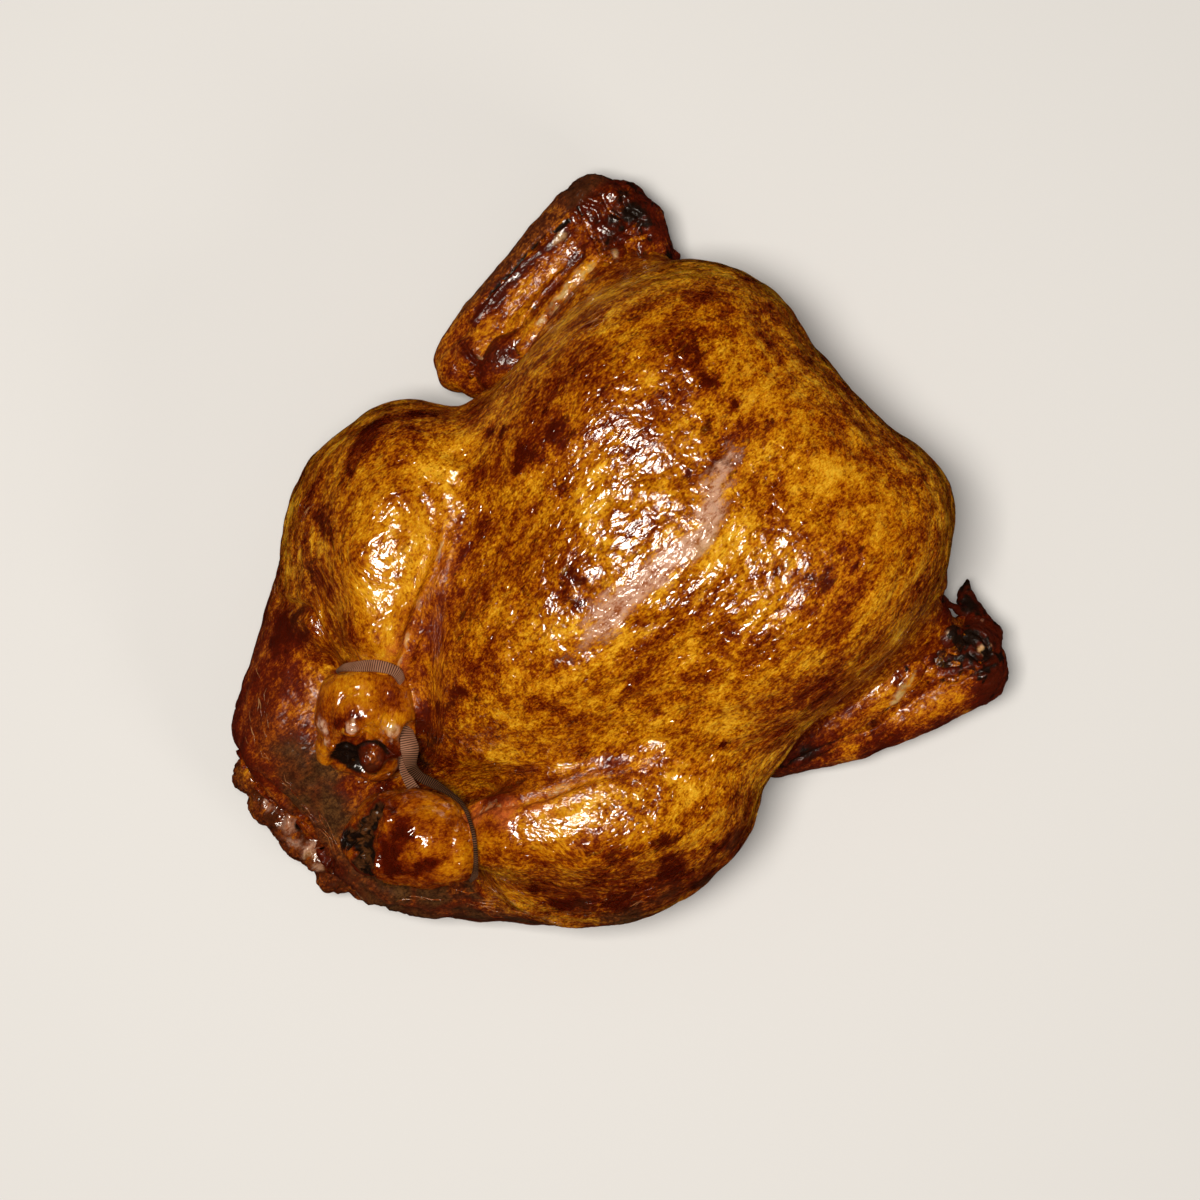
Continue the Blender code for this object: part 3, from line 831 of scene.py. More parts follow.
def build_right_wing(settings):
    limbs = [
        [(31, 91.5, 13, 7.5), (46.8, 95, 17, 7.5), (68, 97.8, 19.5, 7), (91, 99, 21.5, 8),
         (97, 96.5, 21.5, 10)],
        [(44, 95.3, 22.6, 2.8), (54.5, 96.5, 24.2, 2.7), (67.7, 97, 25.6, 2.8), (81, 96.2, 27.2, 3.2),
         (87, 97.3, 27, 3.4)],
        [(36, 87, 20, 8), (38.5, 86.7, 21, 7.4), (52, 90.7, 18.7, 7.8), (67.7, 91, 20, 7.8),
         (83.5, 91.3, 22.8, 7.4)],
        [(49, 77.5, 30, 3.4), (59.4, 79.7, 31.5, 3.4), (70, 81.4, 29.8, 3.4), (85.5, 83.6, 28.8, 3.6)],
        [(33.7, 83, 17, 8.5), (53.2, 82.5, 22, 7.2), (76.7, 83.2, 24, 7.2), (94.7, 87.7, 21.5, 10)],
        [(97, 95, 21, 10), (102, 90, 21, 9.5), (103, 82, 20.5, 8.5), (100.5, 73, 19, 7),
         (102, 67.5, 16, 4.2)],
    ]  # fmt: skip
    balls = [
        ((64, 89, 15), (34, 10, 10), 0.05), ((102.6, 93.5, 27), (4.5, 4.5, 4.5)),
        ((106, 85.5, 24), (4.5, 5, 5)), ((90, 79.5, 29), (4, 3.6, 4)), ((91.4, 97.5, 27), (4, 4, 4)),
        ((98, 76, 24), (5, 5, 5)), ((31, 88, 16), (9, 8, 9)),
    ]  # fmt: skip
    wing = Surface(fused("right_wing", limbs, balls, settings.fine_voxel, 5))
    bare = wing.bare
    bone, black, bone_edge, wrist, rim_line, tendon = wing.lines(
        [(50, 77.5), (58, 79.9), (68, 81.4), (80, 82.5), (86, 82.7)],
        [(42, 97.2), (57, 98.8), (68, 99.4), (76, 99.6), (87, 98)],
        [(43, 82), (49.5, 81), (57, 83.6), (68, 85.2), (84, 87.2)],
        [(92, 99), (90.5, 93), (89, 88), (87.6, 83), (89, 77)],
        [(44, 95.5), (56, 96.8), (68, 97.3), (82, 96.5)],
        [(70, 88), (84, 88)],
    )
    elbow = wing.lines([(27, 83), (33, 83.5), (36, 82.5)], [(36, 93), (35, 87), (36, 82.5), (39, 77)])
    end = smooth_step(bare[:, 0], 84.0, 96.0)
    wing.height += 0.35 * rough_lumps(bare, 7.0, 41, 2) + (0.12 + 0.35 * end) * rough_lumps(bare, 3.2, 43, 3)
    wing.crease(0.9, 1.4, 0.25, black)
    wing.crease(1.3, 1.7, 0.2, bone_edge)
    wing.crease(0.9, 1.4, 0.4, wrist)
    wing.crease(0.8, 1.1, 0.3, *elbow)
    wing.crease(0.8, 1.0, 0.4, *wing.lines(
        [(94, 100), (97, 94), (95, 89)], [(100, 97), (98.5, 91), (100, 86)],
        [(105, 93), (103, 88), (105, 81)], [(94, 84), (99, 82), (104, 83)], [(95, 78), (99, 79), (103, 77)],
    ))  # fmt: skip
    points = wing.finish(wing.pressed())

    ragged = warped(bare, 1.2, 3.0, 44)
    marked, streaked = partial(wing.spots, ragged), partial(along, ragged)
    stops = (0.0, 0.35), (0.15, 0.75), (0.3, 1.0), (0.7, 0.8), (0.9, 0.9), (1.0, 0.3)
    bone_strength = changing(bare, bone, *stops)
    # Painted shade: the rim that turns down and the underside are browned and dried darker.
    rim = smooth_step(points[:, 1], 97.0, 101.0)
    under = smooth_step(18.0 - points[:, 2], 0.0, 10.0)
    turned = most(rim, under)
    paint(
        wing.piece,
        points,
        browning=0.31 + 0.54 * end + 0.15 * rim + 0.15 * under,
        blotch=most(
            0.95 * streaked(rim_line, 2.2),
            0.8 * streaked(elbow[1], 2.0),
            0.7 * streaked(elbow[0], 1.2),
            0.6 * streaked(tendon, 1.5),
        ),
        golden=most(
            along(bare, bone, 3.2) * np.clip(0.65 + 0.5 * rough_lumps(bare, 6.0, 47, 2), 0.0, 1.0),
            marked(
                (45, 88, 7, 0.8), (60, 91, 6, 0.6), (73, 91, 6, 0.5), (99, 74, 5, 0.7), (33, 89, 5, 0.6),
                (30, 84, 5, 0.5), (81, 95.8, 4, 0.5), (88.4, 94.2, 3, 0.5), (90, 80, 3.5, 0.6),
                (37, 84, 3, 0.5),
            ),
        ),
        keel=most(
            (0.66 + 0.3 * rough_lumps(bare, 3.0, 46, 3)) * bone_strength * streaked(bone, 2.4),
            marked(
                (81, 95.8, 3.0, 0.65), (88.4, 94.2, 2.2, 0.6), (90, 80, 2.6, 0.6), (101, 90, 1.8, 0.5),
                (37, 84, 2.2, 0.6),
            ),
        ),
        char=most(
            1.2 * along(bare, black, 1.1) * smooth_step(points[:, 0], 45.0, 55.0),
            0.8 * along(bare, wrist, 0.8),
            0.55 * along(bare, bone_edge, 1.0),
            0.75 * end * smooth_step(rough_lumps(bare, 4.0, 48, 3), 0.15, 0.9),
            marked(
                (104, 86, 5, 1.1), (105, 80, 3, 0.8), (103, 68, 4, 0.9), (42, 79, 3, 0.7), (98, 88, 5, 0.8),
                (99, 97, 4, 0.6), (92, 85, 5, 0.7), (105, 92, 4, 0.8), (93, 92, 3, 0.6), (46, 78, 2.5, 0.8),
            ),
        ),
        dry=0.7 * turned + 0.25 * end * (1.0 - turned),
        wet=np.clip((0.12 + 0.55 * glaze_patches(bare, 45)) * (1.0 - 0.85 * turned), 0.06, 1.0),
        calm=0.15,
    )  # fmt: skip
    return wing.piece


def build_left_wing(settings):
    limbs = [
        [(18, -74.5, 12, 5), (40.7, -84, 16, 8.2), (64.2, -91.5, 19, 9.5), (84.2, -95, 20.5, 11.5)],
        [(24, -74.5, 19, 6), (43.7, -77, 24.5, 7), (59.5, -79.4, 26, 7.2), (68, -80.3, 26.5, 6.5)],
        [(55, -84, 27.2, 3), (66, -82.6, 28.6, 3.1), (71, -81.5, 28.4, 3.8)],
        [(72, -86, 22, 8), (84, -93, 21, 11), (90, -90, 22, 8)],
        [(84.2, -92.3, 20, 11), (93, -89, 20, 7), (96, -84, 18, 4.4), (98, -79, 15.5, 3.3),
         (100, -75.5, 14, 2), (103, -73.6, 13, 0.9)],
        [(89, -66, 36, 2.4), (91.5, -71, 28, 1.6), (93.4, -76, 22, 1.5), (95, -81, 18, 2.4)],
    ]  # fmt: skip
    balls = [
        ((57.2, -86.3, 14.5), (30.5, 8, 9), -0.32), ((85.3, -81.6, 28.2), (4.4, 4.0, 3.6)),
        ((90.4, -92.2, 27.0), (4.2, 3.8, 3.4)), ((76, -82.3, 29), (3, 2.8, 3)),
        ((72, -88, 28), (2.6, 2.6, 2.8)), ((80, -87, 26.6), (4, 4, 4)), ((84, -101, 18), (8, 6, 8)),
    ]  # fmt: skip
    wing = Surface(fused("left_wing", limbs, balls, settings.fine_voxel, 5))
    bare = wing.bare
    bone, seam = wing.lines(
        [(56, -84.8), (61, -84.4), (66, -83.2), (70, -81.6)],
        [(18, -76), (27, -79), (33, -81), (49, -85.2), (60, -86.6), (68, -87), (75, -85)],
    )
    creases = wing.lines(
        [(77, -83.5), (78, -87), (82, -90)], [(82, -78), (81, -83), (84, -86.6), (88.5, -85)],
        [(86, -89), (87, -94), (92, -95)], [(92, -85), (93, -89), (91, -94)],
        [(80, -92), (84, -96), (90, -98)], [(74, -90), (78, -93), (84, -94)],
    )  # fmt: skip
    end = smooth_step(bare[:, 0], 72.0, 84.0)
    wing.height += 0.35 * rough_lumps(bare, 7.0, 51, 2) + (0.12 + 0.3 * end) * rough_lumps(bare, 3.0, 53, 3)
    wing.crease(1.2, 1.8, 0.3, seam)
    wing.crease(0.9, 1.3, 0.4, *creases)
    points = wing.finish(wing.pressed())

    ragged = warped(bare, 1.2, 3.0, 54)
    marked = partial(wing.spots, ragged)
    bone_strength = changing(bare, bone, (0.0, 0.4), (0.2, 0.9), (0.5, 1.0), (0.8, 0.8), (1.0, 0.35))
    # Painted shade: the underside, and the end that meets the breast, are browned and dried darker.
    start = smooth_step(36.0 - points[:, 0], 0.0, 16.0)
    under = smooth_step(18.0 - points[:, 2], 0.0, 8.0)
    paint(
        wing.piece,
        points,
        browning=0.38 + 0.48 * end + 0.35 * start + 0.15 * under,
        blotch=marked(
            (82, -104, 5, 0.7), (90, -98, 4, 0.7), (30, -80, 6, 0.7), (79, -90, 3, 0.8), (92, -80, 5, 0.9),
            (64, -100, 5, 0.5), (96, -90, 5, 0.8), (45, -92, 6, 0.5), (74, -77, 5, 1.0), (80, -83, 5, 1.0),
            (87, -87, 5, 1.0), (93, -84, 5, 1.0), (97, -77, 5, 1.0),
        ),
        golden=most(
            along(bare, bone, 2.6) * np.clip(0.7 + 0.5 * rough_lumps(bare, 4.0, 57, 2), 0.0, 1.0),
            marked(
                (50, -77, 6, 0.6), (58, -79, 6, 0.7), (66, -94, 7, 0.9), (80, -96, 6, 1.0),
                (57, -92, 5, 0.6), (71, -80, 3, 0.6), (94, -70, 2.4, 0.8), (74, -99, 5, 0.7),
                (84, -99, 4, 0.6), (85.3, -81.7, 3, 0.5), (90.5, -92, 3, 0.5),
            ),
        ),
        keel=most(
            (0.66 + 0.25 * rough_lumps(bare, 2.5, 56, 2)) * bone_strength * along(ragged, bone, 1.9),
            marked((85.3, -81.7, 2.4, 0.8), (90.5, -92, 2.4, 0.85), (97, -85, 1.8, 0.5)),
        ),
        char=most(
            0.8 * along(bare, seam, 1.2),
            0.75 * most(*(along(bare, line, 1.3) for line in creases)),
            0.9 * end * smooth_step(rough_lumps(bare, 4.0, 58, 3), 0.0, 0.8),
            marked(
                (73.5, -77, 4, 1.0), (84.4, -83.9, 1.0, 1.2), (91.2, -85.3, 2.6, 1.3),
                (86.1, -90.8, 2.4, 1.2), (101.5, -73.5, 2.6, 1.3), (97.5, -79.5, 4, 1.0), (78, -78, 5, 0.9),
                (88, -81, 3.5, 0.8), (90, -96, 3, 0.6), (99, -80, 3, 0.7), (82, -87, 3.5, 0.8),
                (95, -93, 3, 0.6), (80.2, -86.6, 1.2, 0.9), (67.6, -79.2, 1.0, 1.1), (27, -78, 5, 0.8),
                (62, -101, 2, 0.7),
            ),
        ),
        dry=0.75 * under + 0.35 * end * (1.0 - under) + 0.3 * start,
        wet=np.clip((0.07 + 0.45 * glaze_patches(bare, 55)) * (1.0 - 0.7 * under - 0.3 * start), 0.06, 1.0),
        calm=0.15,
    )  # fmt: skip
    return wing.piece


def build_right_knuckle(settings):
    limbs = [
        [(-60, 34, 65, 9), (-65, 33.5, 65, 9.5), (-71, 30.5, 64, 8.5), (-75.5, 26.5, 62.5, 7)],
        [(-56, 27, 66, 8.5), (-59.5, 21.5, 66, 9), (-64, 17, 65, 8.2)],
        [(-60, 31, 66, 10), (-65, 26, 65.3, 12.6), (-69.5, 22, 63.5, 11.5)],
        [(-77, 22, 56, 7), (-72, 14, 57, 7)],
    ]
    piece = fused("right_knuckle", limbs, [], settings.fine_voxel, 4)
    move_points(piece, faced_off(points_of(piece), RIGHT_CUT, 0.8))
    # The splintered shin, the round knob and two lumps of gristle stand on the bone's flat end.
    splinter = [(-74, 29, 63.5, 5.5), (-79.5, 27, 62, 4.4), (-83, 25.2, 60.5, 3.0)]
    knob_place = (-72.6, 15.2)
    balls = [
        ((*knob_place, 64.2), (5.0, 4.7, 5.0)), ((-69.7, 25.8, 74.6), (3.4, 2.6, 2.8)),
        ((-60.8, 18.2, 72.2), (4.6, 3.4, 3.2), 0.8),
    ]  # fmt: skip
    add_shapes(piece, [splinter], balls)
    knit(piece, settings.fine_voxel, 3)
    knuckle = Surface(piece)
    bare = knuckle.bare
    x, y = knob_place
    turns = [turn * pi / 6 for turn in range(-1, 9)]
    ring = knuckle.line([(x + 5.4 * cos(turn), y + 5.2 * sin(turn)) for turn in turns], 1.5)
    hollow = knuckle.spots(bare, (-79.0, 20.3, 3.8, 1.0), (-76.8, 21.8, 3.0, 0.9), (-78.4, 16.6, 3.2, 0.9))
    rough_end = knuckle.spots(bare, (*knob_place, 4.6, 1.0), (-80, 24, 4.0, 0.5))
    knuckle.height += 0.35 * rough_lumps(bare, 7.0, 61, 2) + 0.14 * rough_lumps(bare, 2.6, 63, 3)
    knuckle.height += 0.5 * along(bare, ring, 2.2) - 1.0 * along(bare, ring, 0.9) - 4.5 * hollow
    knuckle.height += 0.7 * rough_end * rough_lumps(bare, 2.2, 65, 3)
    knuckle.crease(0.6, 0.7, 0.3, *knuckle.lines(
        [(-66.2, 23.5), (-65.4, 18), (-64.6, 11)], [(-67.8, 22), (-67.0, 17), (-66.4, 11)],
        [(-64.6, 22), (-63.4, 12)], [(-76, 31), (-78.6, 28), (-77.5, 23)],
        [(-73, 22), (-70, 21), (-67.5, 22)], [(-72, 28), (-71, 24.5), (-68, 23)],
        [(-57, 22), (-60.5, 21.5), (-64, 20)], [(-70, 33), (-65, 35), (-60, 33)],
    ))  # fmt: skip
    points = knuckle.finish(make_room(knuckle.pressed()))

    marked = partial(knuckle.spots, warped(bare, 1.2, 3.0, 64))
    # Painted shade: the knuckle is browned and charred darker low down.
    under = smooth_step(61.0 - bare[:, 2], 0.0, 8.0)
    knob = knuckle.spots(warped(bare, 1.2, 2.5, 66), (*knob_place, 5.6, 1.0))
    browned = marked((-68, 30, 5, 0.3), (-56, 26, 4, 0.3), (-70, 36, 6, 0.15), (-66, 13, 4, 0.5))
    paint(
        piece,
        points,
        browning=0.20 + 0.8 * under + 0.35 * knob + 0.8 * np.clip(2.0 * hollow, 0.0, 1.0) + browned,
        blotch=marked(
            (-72, 29, 2.4, 0.9), (-73.5, 25, 2.2, 0.8), (-75, 19, 2.4, 1.0), (-67, 28, 1.8, 0.6),
            (-68, 11, 3, 0.9), (-76, 13, 3, 1.0), (-70, 20, 2.2, 0.8), (-73, 12, 2.4, 0.9),
        ),
        golden=marked(
            (-64, 36, 7, 1.0), (-60, 29, 6, 0.9), (-60, 20, 4, 0.8), (-71.4, 14.4, 2.0, 1.0),
            (-82, 26, 3.4, 0.9), (-67, 22, 2.4, 0.6),
        ),
        keel=marked(
            (-69.9, 26, 2.1, 1.1), (-61.2, 17.4, 3.2, 0.95), (-77, 32.5, 3, 0.9), (-79.5, 28.6, 1.6, 0.9),
            (-64.8, 16, 1.4, 0.8), (-66.4, 17, 0.9, 0.7),
        ),
        dry=0.6 * knob,
        char=most(
            1.5 * np.clip(2.2 * hollow, 0.0, 1.0), 0.75 * along(bare, ring, 0.9) + 0.5 * under + 0.3 * knob
        ),
        wet=np.clip(0.85 - 0.6 * under - 0.8 * hollow - 0.65 * knob, 0.1, 1.0),
        calm=0.75,
    )  # fmt: skip
    return piece


def build_left_knuckle(settings):
    limbs = [
        [(-71, -13.5, 65.5, 9), (-75.5, -7.5, 64.5, 9.5), (-80, -2.5, 62, 8)],
        [(-74, -23.5, 66, 9), (-81, -19, 65, 9.5), (-88.5, -12.5, 62.5, 8)],
        [(-73, -20.5, 66, 10), (-77, -14.5, 65.5, 13), (-85, -7.5, 63.5, 12)],
        [(-84, -1, 56.5, 8.5), (-91.5, -3, 55, 9), (-94, -6, 56.5, 7)],
    ]
    piece = fused("left_knuckle", limbs, [], settings.fine_voxel, 4)
    move_points(piece, faced_off(points_of(piece), LEFT_CUT, 0.92))
    knuckle = Surface(piece)
    bare = knuckle.bare
    rim = knuckle.line(
        [(-95.5, -12.5), (-92, -9), (-88, -6), (-84.5, -4.2), (-81, -2.4), (-79, 1), (-78.6, 4.5)], 1.5
    )
    cap = smooth_step(
        knuckle.spots(
            bare,
            (-91, 0, 6.5, 1.0), (-86, 2, 5, 1.0), (-95, -5.5, 6, 1.0), (-95.5, 3, 5, 1.0),
            (-99, -8, 6, 1.0), (-88, 7, 5, 1.0), (-82.5, 3, 4.5, 1.0), (-82, 7.5, 5, 1.0),
            (-98.5, -12.5, 4, 1.0),
        ), 0.35, 0.7,
    )  # fmt: skip
    knuckle.height += 0.35 * rough_lumps(bare, 6.5, 71, 2) + 0.12 * rough_lumps(bare, 2.4, 73, 3)
    torn = 0.5 * along(bare, rim, 1.8) * rough_lumps(bare, 2.0, 78, 2)
    knuckle.height += 0.9 * along(bare, rim, 1.3) + torn
    knuckle.height += cap * (0.75 * rough_lumps(bare, 2.4, 75, 3) - 1.3)
    # The bone's frayed fibres, then the creases in the skin round it.
    knuckle.crease(0.8, 1.0, 0.5, *knuckle.lines(
        [(-86, 1), (-90, 3), (-95, 4)], [(-88, -3), (-92, 0), (-97, 1)], [(-92, -6), (-95, -3), (-99, -2)],
        [(-84, 4), (-88, 6), (-92, 8)], [(-95, -10), (-98, -7), (-101, -6)],
    ))  # fmt: skip
    knuckle.crease(0.7, 0.6, 0.3, *knuckle.lines(
        [(-90, -16), (-84, -14), (-77, -13)], [(-86, -22), (-80, -19)], [(-83.5, -6), (-81, -10), (-76, -10)],
    ))  # fmt: skip
    points = knuckle.finish(make_room(knuckle.pressed()))

    marked = partial(knuckle.spots, warped(bare, 1.6, 3.4, 74))
    # Painted shade: the knuckle is browned darker low down.
    under = smooth_step(60.0 - bare[:, 2], 0.0, 8.0)
    browned = marked((-82, -22, 4, 0.3), (-86, -11, 3.5, 0.35), (-78, -5, 3, 0.3))
    paint(
        piece,
        points,
        browning=0.35 + 0.6 * under + 0.6 * cap + browned,
        blotch=marked(
            (-85, -19, 3.0, 1.0), (-80, -21, 2.4, 0.8), (-88, -8, 3, 1.0), (-91, -13, 4.5, 1.0),
            (-79, -9, 1.8, 0.8), (-81, -7, 2.6, 1.0), (-86, -10, 2.2, 1.0), (-75, -23, 1.6, 0.5),
            (-78, -1, 2.0, 1.0),
        ),
        golden=marked(
            (-70, -8, 5, 1.0), (-71, -25, 6, 1.0), (-78, -26, 5, 0.9), (-83, -17, 4, 0.6),
            (-76, -4, 3, 0.9), (-76, -16, 5, 0.9), (-84, -14, 3, 0.7),
        ),
        keel=0.35 * cap * smooth_step(rough_lumps(bare, 3.0, 77, 2), 0.8, 1.5),
        char=most(
            cap * (0.25 + 0.75 * smooth_step(rough_lumps(bare, 2.2, 79, 3), -0.5, 0.6)),
            marked((-97, 3, 3.5, 1.2), (-98, -9, 2.4, 0.8)),
        ),
        dry=0.9 * cap,
        wet=np.clip(0.85 - 0.5 * under - 0.7 * cap, 0.1, 1.0),
        calm=0.6,
    )  # fmt: skip
    return piece


def build_tail(settings):
    trimmed_end = -118.4
    limbs = [
        [(-100, 39, 16, 9), (-104, 30, 14.5, 11), (-105, 18, 13.5, 11.5), (-105, 7, 12.5, 11),
         (-103, -5, 12.5, 10.5), (-100, -14, 12, 10)],
    ]  # fmt: skip
    balls = [
        ((-106.5, 37, 21), (8, 7.5, 8)), ((-109.5, 28.0, 20), (7.5, 7.5, 7.5)),
        ((-108.0, 18.5, 22), (7.5, 8, 7)), ((-110.5, 12.0, 17.5), (7, 7, 7.5)),
        ((-108.0, 4.5, 19.5), (7.5, 8, 7)), ((-109.5, -3.5, 16), (7.5, 7.5, 7)), ((-105, -9, 15), (7, 7, 7)),
    ]  # fmt: skip
    tail = Surface(fused("tail_end", limbs, balls, settings.fine_voxel * 1.2, 4))
    bare = tail.bare
    pits = tail.spots(bare, (-107.6, 31.5, 2.2, 1.0), (-106.5, 15, 2.4, 1.0), (-108, 3, 2.0, 0.8))
    tail.height += 0.9 * rough_lumps(bare, 5.5, 91, 3) + 0.3 * rough_lumps(bare, 2.0, 93, 2) - 2.6 * pits
    tail.crease(
        1.0, 1.1, 0.3,
        *tail.lines([(-105, 32), (-111, 31), (-115, 27)], [(-106, 23), (-112, 19)], [(-106, 1), (-111, 0)]),
    )  # fmt: skip
    points = tail.pressed()
    points[:, 0] = np.maximum(points[:, 0], trimmed_end)
    points = tail.finish(points)

    marked = partial(tail.spots, warped(bare, 1.4, 3.4, 94))
    # Painted shade: the tail end is browned darker low down.
    under = smooth_step(14.0 - bare[:, 2], 0.0, 8.0)
    paint(
        tail.piece,
        points,
        browning=0.58 + 0.4 * under,
        blotch=marked(
            (-108, 31, 2.6, 1.0), (-112, 22, 3, 0.9), (-107, 12, 2.5, 0.9), (-105, 3, 3, 1.0),
            (-111, 9, 1.8, 0.8), (-112, -7, 3, 0.6),
        ),
        golden=marked((-109, 39, 5, 0.7), (-111, -5, 5, 0.7), (-107, -11, 5, 0.4), (-112, 5, 2.5, 0.4)),
        keel=marked(
            (-110.5, 27, 4, 0.55), (-109, 18, 5.5, 0.62), (-113, 14, 4, 0.65), (-110, 8, 5, 0.7),
            (-112, 2, 3.6, 0.55), (-105, 27, 3, 0.4),
        ),
        dry=0.62,
        char=most(1.3 * pits, marked((-104, 4, 3, 0.6), (-106, 24, 2, 0.7))),
        wet=np.clip(0.5 - 0.35 * under, 0.12, 1.0),
        calm=0.2,
    )  # fmt: skip
    return tail.piece


# ---------------------------------------------------------------- thin folds of skin


def wandering(count, reach, seed, size=6):
    """A smooth random run of numbers from -reach to reach."""
    knots = np.random.default_rng(seed).uniform(-reach, reach, max(2, count // size + 2))
    return np.interp(np.linspace(0, len(knots) - 1, count), np.arange(len(knots)), knots)


def build_folds():
    """Thin folds like drawn threads, each a fine tube half sunk in the skin."""
    covers = [Surface(bpy.data.objects[name]) for name in ("roast_skin", "tail_end")]
    random = np.random.default_rng(17)
    step, sides, fewest = 0.8, 6, 5
    turns = np.arange(sides) / sides * 2 * pi
    points, faces = [], []
    for count, spread, places in FOLD_BUNDLES:
        places = np.array(places, float)
        lengths = np.concatenate([[0.0], np.cumsum(np.linalg.norm(np.diff(places, axis=0), axis=1))])
        for _ in range(count):
            start = random.uniform(0.0, lengths[-1] - 6.0)
            end = min(lengths[-1], start + random.uniform(4.0, 9.0))
            seed = int(random.integers(1, 10000))
            offset = random.normal(0.0, 0.5 * spread)
            thick = random.uniform(0.12, 0.26)
            stations = np.arange(start, end, step)
            if len(stations) < fewest:
                continue
            middle = np.stack([np.interp(stations, lengths, places[:, axis]) for axis in (0, 1)], axis=1)
            heading = unit(np.gradient(middle, axis=0))
            aside = np.stack([-heading[:, 1], heading[:, 0]], axis=1)
            middle = middle + aside * (offset + wandering(len(stations), 0.9, seed))[:, None]
            tops = ([cover.under(x, y, -1.0) for cover in covers] for x, y in middle)
            route = np.array([max(top, key=lambda place: place[2]) for top in tops])
            # A fold ends where the skin drops away from it.
            lost = np.flatnonzero((np.abs(np.diff(route[:, 2])) > 1.4) | (route[:-1, 2] < 5.0))
            route = route[: lost[0]] if len(lost) else route
            if len(route) < fewest:
                continue
            heading = unit(np.gradient(route, axis=0))
            across = unit(np.cross(heading, (0.0, 0.0, 1.0)))
            upward = np.cross(across, heading)
            radius = thick * np.sin(np.linspace(0.04, 0.96, len(route)) * pi) ** 0.6
            first = len(points) * sides
            for place, side, rise, size in zip(route, across, upward, radius):
                ring = np.cos(turns)[:, None] * side + 0.8 * np.sin(turns)[:, None] * rise
                points.append(place + size * ring)
            last = len(points) * sides - sides
            for low in range(first, last, sides):
                for corner in range(sides):
                    after = (corner + 1) % sides
                    faces.append((low + corner, low + after, low + sides + after, low + sides + corner))
            faces += [tuple(range(cap, cap + sides)) for cap in (first, last)]
    folds = piece_of_rings("drawn_folds", np.concatenate(points), faces)
    places = points_of(folds)
    crinkle = 0.36 + 0.35 * rough_lumps(places, 4.0, 24, 2)
    paint(folds, places, browning=0.5, crinkle=crinkle, wet=0.2, calm=0.5)
    return folds


# ---------------------------------------------------------------- the elastic


# Each place on the band's loop, the way its flat side faces, and its share of the full width.
BAND_LOOP = [
    ((-60.5, 41.8, 65.5), (0.1, 1, 0.1), 1.0), ((-56.0, 38.6, 72.5), (0.2, 0.7, 0.7), 1.0),
    ((-51.0, 34.1, 75.6), (0.2, 0.2, 1), 1.0), ((-48.4, 29.0, 74.4), (0.3, -0.3, 1), 0.95),
    ((-50.6, 24.4, 67.0), (0.4, -1, 0.2), 0.7), ((-55.0, 18.6, 63.0), (0.3, -0.9, 0.4), 0.8),
    ((-58.8, 14.0, 66.4), (0.6, -0.3, 0.8), 1.4), ((-61.8, 9.4, 66.8), (0.2, 0, 1), 1.6),
    ((-65.2, 5.4, 63.8), (0, 0.2, 1), 1.0), ((-65.8, 1.0, 61.4), (0, 0, 1), 0.85),
    ((-64.0, -4.0, 62.4), (0.4, 0.2, 1), 0.8), ((-62.2, -9.3, 66.5), (0.7, 0.4, 0.6), 0.45),
    ((-61.4, -14.0, 70.5), (0.7, 0.4, 0.6), 0.32), ((-62.6, -18.7, 74.6), (0.4, 0.2, 0.9), 0.30),
    ((-65.6, -24.4, 76.8), (0.2, -0.2, 1), 0.30), ((-70.6, -30.2, 74.4), (0, -0.8, 0.7), 0.38),
    ((-74.5, -33.0, 67.5), (0, -1, 0), 0.8), ((-74.5, -30.8, 57.0), (-0.2, -0.7, -0.8), 0.9),
    ((-70.6, -18.8, 53.4), (0, 0, -1), 0.9), ((-70.4, -3.0, 55.6), (0, 0.1, -1), 0.9),
    ((-68.6, 5.0, 55.4), (0, 0, -1), 0.9), ((-62.6, 15.6, 54.2), (0, 0, -1), 0.9),
    ((-59.6, 29.2, 53.8), (0, 0.2, -1), 0.9), ((-60.0, 38.9, 58.5), (0, 0.8, -0.6), 0.95),
]  # fmt: skip


def band_stations(step):
    """Evenly spaced places on the closed loop, the way the band faces at each, and how far along it is."""
    places = np.array([place for place, _, _ in BAND_LOOP], float)
    facing = unit(np.array([way for _, way, _ in BAND_LOOP], float))
    count, fine = len(places), 60
    found, ways = [], []
    for index in range(count):
        p0, p1, p2, p3 = (places[(index + offset) % count] for offset in (-1, 0, 1, 2))
        for part in np.arange(fine) / fine:
            bend, twist = 2 * p0 - 5 * p1 + 4 * p2 - p3, 3 * p1 - p0 - 3 * p2 + p3
            found.append((2 * p1 + (p2 - p0) * part + bend * part**2 + twist * part**3) / 2)
            ways.append(facing[index] * (1 - part) + facing[(index + 1) % count] * part)
    found, ways = np.array(found), unit(np.array(ways))
    lengths = np.linalg.norm(np.roll(found, -1, axis=0) - found, axis=1)
    travelled = np.concatenate([[0.0], np.cumsum(lengths)])
    wanted = np.linspace(0.0, travelled[-1], round(travelled[-1] / step), endpoint=False)
    pick = np.searchsorted(travelled, wanted, side="right") - 1
    part = ((wanted - travelled[pick]) / lengths[pick])[:, None]
    after = (pick + 1) % len(found)
    spaced = found[pick] * (1 - part) + found[after] * part
    return spaced, unit(ways[pick] * (1 - part) + ways[after] * part), wanted


